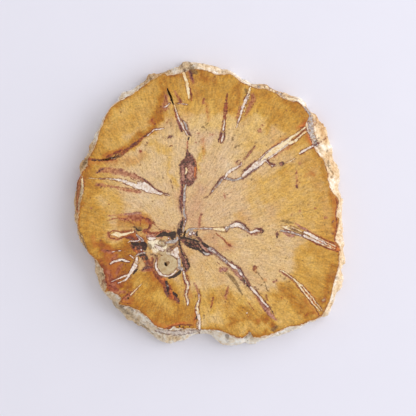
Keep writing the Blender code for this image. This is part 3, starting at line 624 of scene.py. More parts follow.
# Tones of the ground, painted one over the other
ZONES: tuple[Zone, ...] = (
    # The pale middle
    zone(0.15, -0.1, 14, (280,356,88), (330,330,124), (384,304,124), (444,296,112)),
    zone(0.15, 0, 14, (300,400,80), (360,400,120)),
    zone(0.17, 0.2, 16, (424,360,92), (444,410,100), (452,470,108), (428,524,80)),
    zone(0.18, -0.1, 16, (480,524,120), (524,516,132), (536,500,120)),
    zone(0.24, 0, 14, (408,552,72), (464,572,60)),
    zone(0.02, -0.1, 10, (260,392,16), (292,396,28), (320,408,20)),
    zone(0.34, 0.8, 10, (360,392,24), (372,426,24), (396,444,20), (392,410,30), (400,376,20)),
    zone(0.45, 0.4, 10, (480,436,18), (500,444,16)), zone(0.28, 0.3, 10, (480,532,16), (516,564,16)),
    zone(0.02, 0.1, 12, (452,336,20), (476,356,20)),
    zone(0.18, -0.6, 12, (392,248,24), (424,244,36), (464,248,28)),
    zone(0.6, -0.1, 10, (336,216,14), (396,220,12)), zone(0.4, -0.5, 8, (308,292,16), (330,300,22)),
    zone(0.46, -0.7, 6, (406,276,6), (404,316,8), (396,336,6)),
    zone(0.45, -0.6, 5, (332,320,6), (352,372,6)),
    zone(0.1, 0.5, 10, (392,264,12), (412,284,18), (428,272,12)),
    zone(0.4, 0.75, 10, (416,472,20), (436,492,20), (460,496,24)),
    # The north
    zone(0.68, -0.3, 10, (376,180,68), (472,188,88), (504,196,76)),
    zone(0.8, 0.1, 10, (336,152,12), (368,144,24), (394,190,16)),
    zone(0.92, 0.15, 8, (400,152,20), (428,164,16)), zone(0.92, 0, 8, (484,174,18), (464,218,14)),
    zone(0.5, -0.4, 8, (392,216,18), (424,212,24)), zone(0.64, -0.4, 5, (456,156,10), (458,176,8)),
    # The north-west
    zone(0.62, -0.2, 12, (216,256,60), (244,232,80), (312,184,52)),
    zone(0.46, -0.4, 10, (226,240,16), (248,224,30), (280,200,24)),
    zone(0.5, -0.4, 10, (220,292,20), (244,280,16)),
    zone(0.62, 0.5, 8, (216,326,14), (268,320,16), (284,308,12)),
    zone(0.84, -0.1, 8, (344,148,20), (332,168,18)),
    zone(1.02, 0, 8, (328,184,22), (320,222,22), (303,254,16), (262,290,14), (212,312,12)),
    zone(0.5, -0.2, 8, (272,248,14)), zone(0.98, -0.1, 6, (356,140,10), (320,160,8)),
    zone(0.86, 0, 6, (300,168,12), (224,216,12), (176,312,12)),
    # The north-east
    zone(0.72, -0.45, 14, (524,208,68), (572,224,68), (592,248,48)),
    zone(0.92, -0.2, 10, (572,204,18), (602,220,24), (608,240,18)),
    zone(0.86, -0.2, 8, (516,184,12), (540,192,14)),
    zone(0.3, -0.6, 10, (506,232,16), (524,242,22), (500,260,26)),
    zone(0.3, -0.35, 14, (484,280,32), (516,280,36), (500,312,24)),
    zone(0.72, -0.2, 8, (546,212,16), (560,232,16), (536,248,10), (528,268,8)),
    # The east
    zone(0.46, -0.3, 18, (552,360,92), (600,370,100), (610,420,100)),
    zone(0.6, 0.1, 12, (600,304,44), (632,344,44), (656,400,40), (656,452,36)),
    zone(0.9, 0, 6, (628,292,14), (648,332,14), (672,412,16), (672,452,14)),
    zone(0.32, -0.25, 10, (502,380,22), (512,424,22)), zone(0.58, -0.3, 10, (568,344,20), (580,380,16)),
    zone(0.56, -0.4, 10, (576,314,16), (600,296,12)),
    zone(0.24, 0.1, 12, (496,348,20), (536,332,24), (584,312,16)),
    # The south-east
    zone(0.7, -0.35, 10, (630,512,72), (624,560,84), (608,596,76)),
    zone(0.5, -0.4, 10, (616,524,24), (636,544,20)), zone(0.92, -0.1, 10, (568,572,24), (612,624,26)),
    zone(0.88, -0.3, 10, (552,596,24), (560,628,24)), zone(0.6, 1, 8, (520,600,18), (532,620,14)),
    zone(1.22, 0, 5, (602,628,5), (622,626,6)), zone(0.62, -0.5, 8, (554,628,14), (596,632,14)),
    zone(0.98, 0, 8, (644,608,16), (672,532,12)),
    # The south
    zone(0.5, -0.4, 14, (408,608,68), (524,624,60), (576,632,40)),
    zone(0.98, -0.1, 7, (456,652,12), (466,640,10), (524,638,14), (550,656,14)),
    zone(1.08, 0, 5, (498,668,4), (528,668,7)), zone(0.3, -0.4, 6, (418,640,28), (436,640,20)),
    zone(0.44, -0.4, 5, (478,652,10), (486,664,12)), zone(0.5, -0.4, 5, (518,652,8), (532,653,7)),
    zone(0.76, 0, 10, (424,600,14), (452,586,18), (458,610,18)),
    zone(0.84, -0.2, 8, (476,618,14), (504,624,14)), zone(0.72, 0, 5, (452,626,4), (524,626,4)),
    # The south-western lobe
    zone(0.88, -0.35, 10, (280,580,68), (316,600,92), (356,616,68), (376,636,44)),
    zone(0.52, -0.6, 10, (310,594,18), (324,600,26), (336,612,20)),
    zone(1, -0.1, 8, (252,594,24), (280,620,12)), zone(1.02, -0.1, 8, (300,548,18), (320,568,16)),
    zone(0.56, 0, 8, (368,560,26), (368,604,20)), zone(0.72, -0.1, 8, (374,624,14), (378,644,16)),
    # The west
    zone(0.72, -0.3, 12, (176,360,36), (188,448,52)), zone(0.92, -0.2, 10, (176,340,20), (176,376,18)),
    zone(0.48, -0.3, 12, (220,400,32), (232,416,28)), zone(0.34, -0.3, 6, (200,392,12), (216,404,10)),
    zone(1.06, 0.2, 6, (172,320,16), (159,412,10)), zone(0.84, -0.35, 10, (176,468,30), (188,492,24)),
    zone(1.02, -0.1, 10, (252,496,36), (256,520,32), (244,552,24), (260,576,24)),
    zone(1.12, 0.1, 10, (206,492,16), (226,524,34), (224,572,24)),
    zone(1.32, 0.2, 6, (206,524,8), (218,564,24), (232,574,18)),
    zone(0.66, -0.3, 6, (280,568,24), (268,580,16)),
    zone(0.8, 0.3, 8, (236,446,16), (268,442,24), (294,448,24)),
    zone(0.6, 0.2, 6, (236,430,8), (284,432,12)), zone(1.02, 0.5, 8, (252,466,16), (294,486,18)),
    # The crystals around the pith
    zone(-0.55, 0, 3, (301,478,10), (316,492,24), (332,504,14)),
)

# The rind: how dirty it is, and its hue from 0, chalk, through 0.5, cream, to 1, brown
# Both also carry painted light: the south, facing away from the lamp, is set paler, and the lit east darker
# and browner
RIND_ZONES: tuple[Zone, ...] = (
    zone(0.28, 0.42, 12, (392,120,20), (452,136,24)), zone(0.3, 0.75, 12, (516,160,24), (580,190,14)),
    zone(0.7, 0.6, 10, (360,126,16), (376,132,16)), zone(0.75, 0.95, 10, (280,160,14), (332,140,14)),
    zone(0.4, 0.15, 12, (208,220,16), (232,192,16), (256,176,16)),
    zone(0.28, 0.92, 12, (176,292,16), (150,372,16), (158,464,16), (174,504,16)),
    zone(0.55, 0.65, 10, (188,524,14), (210,580,16)), zone(0.9, 0.4, 10, (224,602,16), (292,662,18)),
    zone(1.35, 0.4, 4, (230,610,4), (264,632,4)), zone(0.2, 0.35, 3, (214,588,4), (240,608,2)),
    zone(0.15, 0.15, 3, (264,616,5), (300,646,4)), zone(0.6, 0.4, 3, (238,624,2), (264,643,4), (278,646,3)),
    zone(0.72, 0.3, 10, (312,676,18), (364,674,12)),
    # The south is set chalk-white, a painted lightening of the rind where it faces away from the lamp
    zone(0.05, 0.12, 12, (384,666,16), (480,682,20), (528,678,20), (620,648,16)),
    zone(0.25, 0.6, 12, (636,640,14), (660,608,14)),
    # The east is set cream and the north-east brown, a painted darkening where the lamp falls full on the
    # rind
    zone(0.24, 0.5, 14, (676,584,16), (684,540,18), (676,372,18)),
    zone(0.52, 0.85, 12, (668,344,16), (656,312,16)), zone(0.6, 1, 10, (634,226,16), (650,276,18)),
    zone(1, 0.55, 4, (594,204,4), (618,226,7), (622,258,9), (642,304,6)),
)


def place(points: np.ndarray) -> np.ndarray:
    """Turn plan positions of the drawing into millimetres from the slice's middle.

    Args:
        points: Positions in squares, one row each.

    Returns:
        Positions in millimetres, one row each.
    """
    x = (points[:, 0] - DRAWN_MIDDLE[0]) * SQUARE_MM
    y = (DRAWN_MIDDLE[1] - points[:, 1]) * SQUARE_MM
    return np.column_stack([x, y])


def blend(value: np.ndarray, low: float, high: float) -> np.ndarray:
    """Rise smoothly from 0 at low to 1 at high.

    Args:
        value: The values to read.
        low: Where the rise starts.
        high: Where it ends.

    Returns:
        The rise at each value.
    """
    share = np.clip((value - low) / (high - low), 0.0, 1.0)
    return share * share * (3.0 - 2.0 * share)


def bow(before: np.ndarray, start: np.ndarray, end: np.ndarray, after: np.ndarray,
        t: float) -> np.ndarray:
    """Find places on the smooth curve through drawn points.

    Args:
        before: The points before the starts.
        start: Where the spans start.
        end: Where they end.
        after: The points after the ends.
        t: How far along the spans, from 0 to 1.

    Returns:
        The places.
    """
    return (
        start * (2 * t ** 3 - 3 * t ** 2 + 1) + (end - before) * 0.5 * (t ** 3 - 2 * t ** 2 + t)
        + end * (3 * t ** 2 - 2 * t ** 3) + (after - start) * 0.5 * (t ** 3 - t ** 2)
    )


def reach_towards(edge: np.ndarray, angles: np.ndarray) -> np.ndarray:
    """Find how far a closed line is from the middle.

    Args:
        edge: The line's points, in millimetres.
        angles: Directions around the slice.

    Returns:
        The distance in each direction, in millimetres.
    """
    known = np.arctan2(edge[:, 1], edge[:, 0])
    order = np.argsort(known)
    return np.interp(angles, known[order], np.hypot(*edge[order].T), period=2 * math.pi)


def smooth_line(line: tuple[Reach, ...], steps: int = 3) -> np.ndarray:
    """Draw a smooth open curve through the points of a line.

    Args:
        line: The points and widths, in squares.
        steps: How many pieces each span is cut into.

    Returns:
        Rows of x, y and half width, in millimetres.
    """
    rows = np.array(line, dtype=float)
    if len(rows) > 2:
        padded = np.vstack([2 * rows[0] - rows[1], rows, 2 * rows[-1] - rows[-2]])
        spans = zip(padded, padded[1:], padded[2:], padded[3:])
        curve = [bow(*span, step / steps) for span in spans for step in range(steps)]
        rows = np.array(curve + [rows[-1]])
    elif len(rows) == 1:
        rows = np.vstack([rows, rows])
    plan = place(rows[:, :2])
    return np.column_stack([plan, rows[:, 2] * 0.5 * SQUARE_MM])


def depth_in(rows: np.ndarray, plan: np.ndarray) -> np.ndarray:
    """How deep plan positions lie inside a line of changing width.

    Args:
        rows: The line, as rows of x, y and half width in millimetres.
        plan: The positions, in millimetres.

    Returns:
        The depth at each position in millimetres, negative outside.
    """
    best = np.full(len(plan), -1.0e3)
    for start, end in zip(rows[:-1], rows[1:]):
        along = end[:2] - start[:2]
        length = float(along @ along)
        share = np.clip((plan - start[:2]) @ along / max(length, 1e-12), 0.0, 1.0)
        away = np.hypot(*(plan - start[:2] - share[:, None] * along).T)
        best = np.maximum(best, start[2] + (end[2] - start[2]) * share - away)
    return best


@dataclass(frozen=True)
class Pattern:
    """The veins, stains and zones of the stone, read at any plan position.

    A vein cuts into the veins that come before it in the list, as a later filling does in the stone.
    """

    veins: tuple[Vein, ...]
    zones: tuple[Zone, ...] = ()
    overlap: float = 0.13  # how far the cut vein still reaches under, in millimetres
    edge_tone: float = 0.98  # the ground's tone at the edge of the face, and its hue
    edge_hue: float = -0.3
    tone_falls: tuple[Trio, ...] = ((0.26, 0.2, 1.8), (0.36, 1.8, 14.0))  # how much, from where to where
    hue_rise: Trio = (0.5, 4.0, 18.0)

    def minerals(self, plan: np.ndarray) -> Depths:
        """Find how deep each position lies in each mineral.

        Args:
            plan: Positions in millimetres.

        Returns:
            Depths in millimetres for each mineral, no less than -FAR_MM.
        """
        depths = {mineral: np.full(len(plan), -FAR_MM) for mineral in Mineral}
        for item in self.veins:
            rows = smooth_line(item.line)
            reach = rows[:, 2].max() + FAR_MM
            low = rows[:, :2].min(axis=0) - reach
            high = rows[:, :2].max(axis=0) + reach
            near = np.nonzero(np.all((plan > low) & (plan < high), axis=1))[0]
            if not len(near):
                continue
            depth = depth_in(rows, plan[near])
            if item.mineral not in STAINS:
                for other in Mineral:
                    if other is not item.mineral and other not in STAINS:
                        left = np.maximum(self.overlap - depth, -FAR_MM)
                        depths[other][near] = np.minimum(depths[other][near], left)
            depths[item.mineral][near] = np.maximum(depths[item.mineral][near], depth)
        return depths

    def ground(self, plan: np.ndarray, rim: np.ndarray) -> tuple[np.ndarray, np.ndarray]:
        """Find the ground's tone and hue.

        Args:
            plan: Positions in millimetres.
            rim: How far in each position is from the edge of the face, in millimetres.

        Returns:
            Tone and hue at each position.
        """
        tone = np.full(len(plan), self.edge_tone)
        for fall, low, high in self.tone_falls:
            tone -= fall * blend(rim, low, high)
        rise, low, high = self.hue_rise
        hue = rise * blend(rim, low, high) + self.edge_hue
        for item in self.zones:
            rows = smooth_line(item.line)
            soft = item.soft * SQUARE_MM
            weight = blend(depth_in(rows, plan), -soft, soft)
            tone += (item.tone - tone) * weight
            hue += (item.hue - hue) * weight
        return tone, hue


@dataclass(frozen=True)
class Outline:
    """A closed drawn outline, read as a radius in each direction around the slice."""

    points: tuple[Point, ...]
    span_steps: int = 8

    def curve(self) -> np.ndarray:
        """Points along a smooth closed curve through the drawn ones, in millimetres."""
        drawn = place(np.array(self.points, dtype=float))
        span = [np.roll(drawn, shift, axis=0) for shift in (1, 0, -1, -2)]
        steps = [bow(*span, step / self.span_steps) for step in range(self.span_steps)]
        return np.stack(steps, axis=1).reshape(-1, 2)

    def radii(self, angles: np.ndarray) -> np.ndarray:
        """Distance from the middle to the outline in some directions, in millimetres."""
        return reach_towards(self.curve(), angles)


def swing(angle: float, turns: float, seed: float) -> float:
    """A slow change around the slice, from -1 to 1, that meets itself after a full turn."""
    where = Vector((math.cos(angle) * turns, math.sin(angle) * turns, seed))
    return max(-1.0, min(1.0, 1.8 * noise.noise(where)))


def stretched(point: Vector, width: float, length: float) -> Vector:
    """Scale a point for a pattern that is drawn out along the trunk."""
    return Vector((point.x / width, point.y / width, point.z / length))


@dataclass
class Rind:
    """The rough outside of the slice, from the sawn underside up to the polished face.

    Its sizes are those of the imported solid, in millimetres, with finer relief cut into it.
    """

    thickness: float
    columns: int = 1008
    rings_below: int = 11
    rings_above: int = 24
    least_overhang: float = 0.25
    wear_allowance: float = 0.6
    widest_height: float = 0.34
    widest_swing: float = 0.14
    below_bulge: float = 1.6
    above_bulge: float = 1.3
    undercut: float = 1.1
    undercut_swing: float = 0.6
    flute_depth: float = 1.3
    flute_width: float = 4.2
    flute_length: float = 20.0
    lump_depth: float = 1.1
    lump_size: float = 6.0
    ledge_depth: float = 0.7
    ledge_height: float = 0.66
    ledge_swing: float = 0.16
    deepest_undercut: float = 0.7
    fissure_depth: float = 0.75
    fissure_width: float = 1.9
    fissure_length: float = 5.0
    pit_depth: float = 0.55
    pit_size: float = 1.5
    crumb_depth: float = 0.22
    crumb_size: float = 0.55
    crevice_depth: float = 1.5
    crevice_reach: float = 1.6  # as a share of its drawn size
    fade_rate: float = 4.5  # how fast the fine relief sets in from both faces
    least_flute: float = 0.45  # how much of the noise wears the flutes away
    least_lump: float = 0.35
    ledge_steepness: float = 9.0
    bend: float = 0.35
    bend_size: float = 3.1
    fissure_sharpness: float = 4.2
    pit_sharpness: float = 2.1
    pit_patch: float = 4.3  # size of the patches with more or fewer pits
    crumb_detail: tuple[float, float, int] = (0.9, 2.0, 3)  # fall, step and number of finer patterns
    fine_allowance: float = 0.22  # the fine relief starts from this far outside
    points: np.ndarray = field(init=False)
    wear: np.ndarray = field(init=False)
    face_radii: np.ndarray = field(init=False)

    @property
    def rings(self) -> int:
        """How many rings of points there are."""
        return self.rings_below + self.rings_above + 1

    def angles(self) -> np.ndarray:
        """The direction of each column."""
        return -math.pi + 2 * math.pi * np.arange(self.columns) / self.columns

    def level(self, ring: int, waist: float) -> tuple[float, float]:
        """Height and spread of a ring.

        Args:
            ring: Which ring, from the underside up.
            waist: Height of the widest line, as a share of the thickness.

        Returns:
            Height as a share of the thickness, and how far out it is from 0 to 1.
        """
        if ring in (0, self.rings - 1):
            return float(ring > 0), 0.0
        if ring <= self.rings_below:
            turn = 0.5 * math.pi * (1.0 - ring / self.rings_below)
            power = 2.0 / self.below_bulge
            return waist * (1.0 - math.sin(turn) ** power), math.cos(turn) ** power
        turn = 0.5 * math.pi * (ring - self.rings_below) / self.rings_above
        power = 2.0 / self.above_bulge
        return waist + (1.0 - waist) * math.sin(turn) ** power, math.cos(turn) ** power

    def coarse_wear(self, point: Vector, share: float, step_height: float) -> float:
        """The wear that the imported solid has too.

        Args:
            point: A point of the unworn rind, in millimetres.
            share: 0 at both flat faces and 1 at the middle.
            step_height: Height of the broken ledge there, as a share of the thickness.

        Returns:
            Depth of the wear in millimetres.
        """
        flute = noise.noise(stretched(point, self.flute_width, self.flute_length))
        lump = noise.noise(point / self.lump_size + Vector((7.0, 3.0, 1.0)))
        step = max(0.0, min(1.0, (point.z / self.thickness - step_height) * self.ledge_steepness))
        worn = self.flute_depth * (self.least_flute - flute) + self.lump_depth * (self.least_lump - lump)
        return max(0.0, worn + self.ledge_depth * step) * share

    def fine_wear(self, point: Vector) -> float:
        """The bark-like fissures, pits and crumbs of the rind.

        Args:
            point: A point of the unworn rind, in millimetres.

        Returns:
            Depth of the wear in millimetres.
        """
        along = stretched(point, self.fissure_width, self.fissure_length)
        bend = noise.noise_vector(point / self.bend_size) * self.bend
        fissure = max(0.0, 1.0 - self.fissure_sharpness * abs(noise.noise(along + bend)))
        cells = noise.voronoi(point / self.pit_size + bend)[0]
        pitted = max(0.0, min(1.0, 0.5 + 2.0 * noise.noise(point / self.pit_patch)))
        pit = max(0.0, 1.0 - self.pit_sharpness * cells[0]) * pitted
        crumb = noise.fractal(point / self.crumb_size, *self.crumb_detail)
        crumbs = self.crumb_depth * (0.5 + 0.5 * crumb)
        return self.fissure_depth * fissure ** 2 + self.pit_depth * pit + crumbs

    def build(self) -> None:
        """Work out every point of the rind and how deeply each is worn."""
        angles = self.angles()
        self.face_radii = Outline(FACE_EDGE).radii(angles)
        rind_radii = Outline(RIND_EDGE).radii(angles)
        crevices = [(*place(np.array([row[:2]]))[0], row[2] * 0.5 * SQUARE_MM) for row in RIND_PITS]
        self.points = np.zeros((self.columns, self.rings, 3))
        self.wear = np.zeros((self.columns, self.rings))
        for column, angle in enumerate(angles):
            outward = Vector((math.cos(angle), math.sin(angle), 0.0))
            face = self.face_radii[column]
            widest = max(rind_radii[column], face + self.least_overhang) + self.wear_allowance
            foot = widest - self.undercut - self.undercut_swing * swing(angle, 3.0, 1.0)
            waist = self.widest_height + self.widest_swing * swing(angle, 2.0, 9.0)
            step_height = self.ledge_height + self.ledge_swing * swing(angle, 2.5, 5.0)
            for ring in range(self.rings):
                height, spread = self.level(ring, waist)
                edge = foot if ring <= self.rings_below else face
                radius = edge + (widest - edge) * spread
                point = outward * radius
                point.z = height * self.thickness
                share = math.sqrt(min(1.0, max(0.0, 4.0 * height * (1.0 - height))))
                coarse = self.coarse_wear(point, share, step_height)
                fade = min(1.0, self.fade_rate * share)
                fine = (self.fine_wear(point) - self.fine_allowance) * fade
                for x, y, size in crevices:
                    away = math.hypot(point.x - x, point.y - y) / size
                    if away < self.crevice_reach:
                        bowl = max(0.0, 1.0 - (away / self.crevice_reach) ** 2) ** 2
                        fine += self.crevice_depth * bowl * fade
                worn = min(max(0.0, coarse + fine), radius - edge + self.deepest_undercut + 0.5 * fade)
                self.wear[column, ring] = max(0.0, fine)
                self.points[column, ring] = point - outward * worn


@dataclass(frozen=True)
class Hollow:
    """An open crack or pit in the polished face."""

    depth: float  # in millimetres
    line: tuple[Reach, ...]


HOLLOWS = (
    Hollow(3.0, ((335, 178, 1.6), (338, 185, 3.4), (342, 194, 4), (344, 201, 3.4), (346, 208, 1.6))),
    Hollow(1.2, ((202, 320, 1.4), (212, 319, 3.6), (220, 318, 3.6), (228, 315, 3), (238, 313, 1.2))),
    Hollow(1.5, ((331.6, 528, 3.8), (332, 531.2, 3.8))),
    Hollow(0.8, ((370, 463, 3.6), (368, 468, 5.2), (368, 472, 3.2))),
    Hollow(0.9, ((256, 596, 3.4), (256.4, 596.6, 3.4))),
)


@dataclass
class FlatFace:
    """One flat face of the slice, filled with triangles that are finest along veins and hollows."""

    edge: np.ndarray  # the points of its edge, in millimetres
    spacing: float  # between the points of plain ground, in millimetres
    vein_spacing: float  # between the points along a vein
    hollow_spacing: float  # between the points in a hollow, or 0 without hollows
    hollow_margin: float = 0.4  # how far around a hollow its points reach
    hollow_gap: float = 0.8  # the least gap between points, as a share of their spacing
    vein_gap: float = 0.56
    ground_gap: float = 0.6
    jitter: float = 0.2
    insets: tuple[float, ...] = (0.22, 0.5)  # rows of points along the edge
    clear: float = 0.2  # how far from those rows the other points start
    cell: float = 0.3  # size of the squares in which neighbours are looked up

    def rim(self, plan: np.ndarray) -> np.ndarray:
        """How far in positions are from the edge that lies beyond them, in millimetres."""
        return reach_towards(self.edge, np.arctan2(plan[:, 1], plan[:, 0])) - np.hypot(*plan.T)

    def trail(self, line: tuple[Reach, ...], side: float) -> np.ndarray:
        """Points along a vein.

        Args:
            line: The vein's line.
            side: 0 along its middle, 1 or -1 along one of its sides.

        Returns:
            Positions in millimetres.
        """
        rows = smooth_line(line)
        steps = np.diff(rows[:, :2], axis=0)
        lengths = np.hypot(*steps.T)
        if lengths.max() < 1e-6:
            turns = np.linspace(0.0, 2 * math.pi, 7)[:-1]
            ring = np.column_stack([np.cos(turns), np.sin(turns)])
            return rows[:1, :2] + abs(side) * rows[0, 2] * ring[:6 if side > 0 else 1]
        found = []
        for start, end, step, length in zip(rows[:-1], rows[1:], steps, lengths):
            shares = np.linspace(0.0, 1.0, max(2, int(length / self.vein_spacing) + 1))[:, None]
            across = np.array([-step[1], step[0]]) / max(length, 1e-6)
            half = start[2] + shares * (end[2] - start[2])
            found.append(start[:2] + shares * step + side * half * across)
        return np.vstack(found)

    def wanted(self, veins: tuple[Vein, ...]) -> list[tuple[np.ndarray, float]]:
        """List the points to try, the most wanted first.

        Args:
            veins: The veins to follow.

        Returns:
            Groups of positions, each with the least distance that it keeps to points already there.
        """
        groups = []
        for hollow in HOLLOWS if self.hollow_spacing else ():
            rows = smooth_line(hollow.line)
            low, high = rows[:, :2].min(axis=0) - 1.0, rows[:, :2].max(axis=0) + 1.0
            columns, lines = (np.arange(low[axis], high[axis], self.hollow_spacing) for axis in (0, 1))
            grid = np.stack(np.meshgrid(columns, lines), axis=-1).reshape(-1, 2)
            near = grid[depth_in(rows, grid) > -self.hollow_margin]
            groups.append((near, self.hollow_spacing * self.hollow_gap))
        for side in (0.0, 1.0, -1.0):
            along = np.vstack([self.trail(item.line, side) for item in veins])
            groups.append((along, self.vein_spacing * self.vein_gap))
        reach = float(np.hypot(*self.edge.T).max())
        columns = np.arange(-reach, reach, self.spacing)
        lines = np.arange(-reach, reach, self.spacing * math.sqrt(0.75))
        grid = np.stack(np.meshgrid(columns, lines), axis=-1)
        grid[1::2, :, 0] += 0.5 * self.spacing
        draws = np.random.default_rng(GRID_SEED)
        shifts = draws.uniform(-self.jitter, self.jitter, (grid.size // 2, 2)) * self.spacing
        groups.append((grid.reshape(-1, 2) + shifts, self.spacing * self.ground_gap))
        return groups

    def fill(self, veins: tuple[Vein, ...]) -> tuple[np.ndarray, np.ndarray]:
        """Choose the points of the face and join them up.

        Args:
            veins: The veins to follow.

        Returns:
            The points, the edge's own first, and the triangles, anticlockwise.
        """
        sparse = self.edge[::2]
        far = np.hypot(*sparse.T)[:, None]
        kept = [point for inset in self.insets for point in sparse * (1.0 - inset / far)]
        taken: dict[tuple[int, int], list[tuple[float, float]]] = {}
        for x, y in kept:
            taken.setdefault((int(x // self.cell), int(y // self.cell)), []).append((x, y))
        for group, gap in self.wanted(veins):
            span = math.ceil(gap / self.cell)
            for x, y in group[self.rim(group) > self.insets[-1] + self.clear].tolist():
                column, row = int(x // self.cell), int(y // self.cell)
                if any(
                    (other[0] - x) ** 2 + (other[1] - y) ** 2 < gap * gap
                    for i in range(column - span, column + span + 1)
                    for j in range(row - span, row + span + 1)
                    for other in taken.get((i, j), ())
                ):
                    continue
                kept.append((x, y))
                taken.setdefault((column, row), []).append((x, y))
        points = np.vstack([self.edge, np.array(kept)])
        outline = [list(range(len(self.edge)))]
        result = delaunay_2d_cdt([Vector(point) for point in points], [], outline, 1, 1e-6)
        first = np.array([numbers[0] for numbers in result[3]])
        triangles = first[np.array(result[2])]
        a, b, c = (points[triangles[:, corner]] for corner in range(3))
        turned = (b[:, 0] - a[:, 0]) * (c[:, 1] - a[:, 1]) < (c[:, 0] - a[:, 0]) * (b[:, 1] - a[:, 1])
        triangles[turned] = triangles[turned][:, ::-1]
        return points, triangles


# Small shifts that make drawn lines wander: a seed, how far, and over what length, in millimetres
VEIN_DRIFT = ((1.0, 0.32, 2.4), (2.0, 0.22, 0.8))
GROUND_DRIFT = ((5.0, 2.2, 5.5), (6.0, 1.3, 1.7))
UNDER_DRIFT = ((9.0, 1.1, 16.0),)
RIND_DRIFT = ((3.0, 0.4, 1.5),)


def drift(plan: np.ndarray, shifts: tuple[Trio, ...]) -> np.ndarray:
    """Shift positions a little, so that drawn lines wander.

    Args:
        plan: Positions in millimetres.
        shifts: The shifts, done one after the other.

    Returns:
        The shifted positions.
    """
    for seed, reach, size in shifts:
        rows = [noise.noise_vector(Vector((x / size, y / size, seed)))[:2] for x, y in plan]
        plan = plan + reach * np.array(rows)
    return plan


Shade = tuple[int, int, int]  # red, green and blue from 0 to 255, as seen on a screen
HAZE = 0.028  # what the room's reflection adds to the polished face


def paint(shade: Shade, haze: float = 0.0) -> tuple[float, float, float, float]:
    """Turn a screen colour into the linear one that a shader takes.

    Args:
        shade: The colour as seen.
        haze: How much of it is the room's reflection, which the shader adds by itself.

    Returns:
        The linear colour.
    """
    parts = [part / 255 for part in shade]
    parts = [part / 12.92 if part <= 0.04045 else ((part + 0.055) / 1.055) ** 2.4 for part in parts]
    return (*(max(0.002, part - haze) for part in parts), 1.0)


@dataclass(frozen=True)
class Signal:
    """What comes out of a node, which sums can be done with as with a number."""

    graph: "Graph"
    socket: bpy.types.NodeSocket

    def __add__(self, other: "Value") -> "Signal":
        """Add a value."""
        return self.graph.math("ADD", self, other)

    def __mul__(self, other: "Value") -> "Signal":
        """Multiply by a value."""
        return self.graph.math("MULTIPLY", self, other)

    def __rsub__(self, other: float) -> "Signal":
        """Take the signal away from a number."""
        return self.graph.math("SUBTRACT", other, self)

    def rise(self, low: float, high: float) -> "Signal":
        """Rise smoothly from 0 where the signal is low to 1 where it is high."""
        return self.graph.feed("ShaderNodeMapRange", self, low, high, interpolation_type="SMOOTHSTEP")


Value = Signal | float | tuple[float, ...]


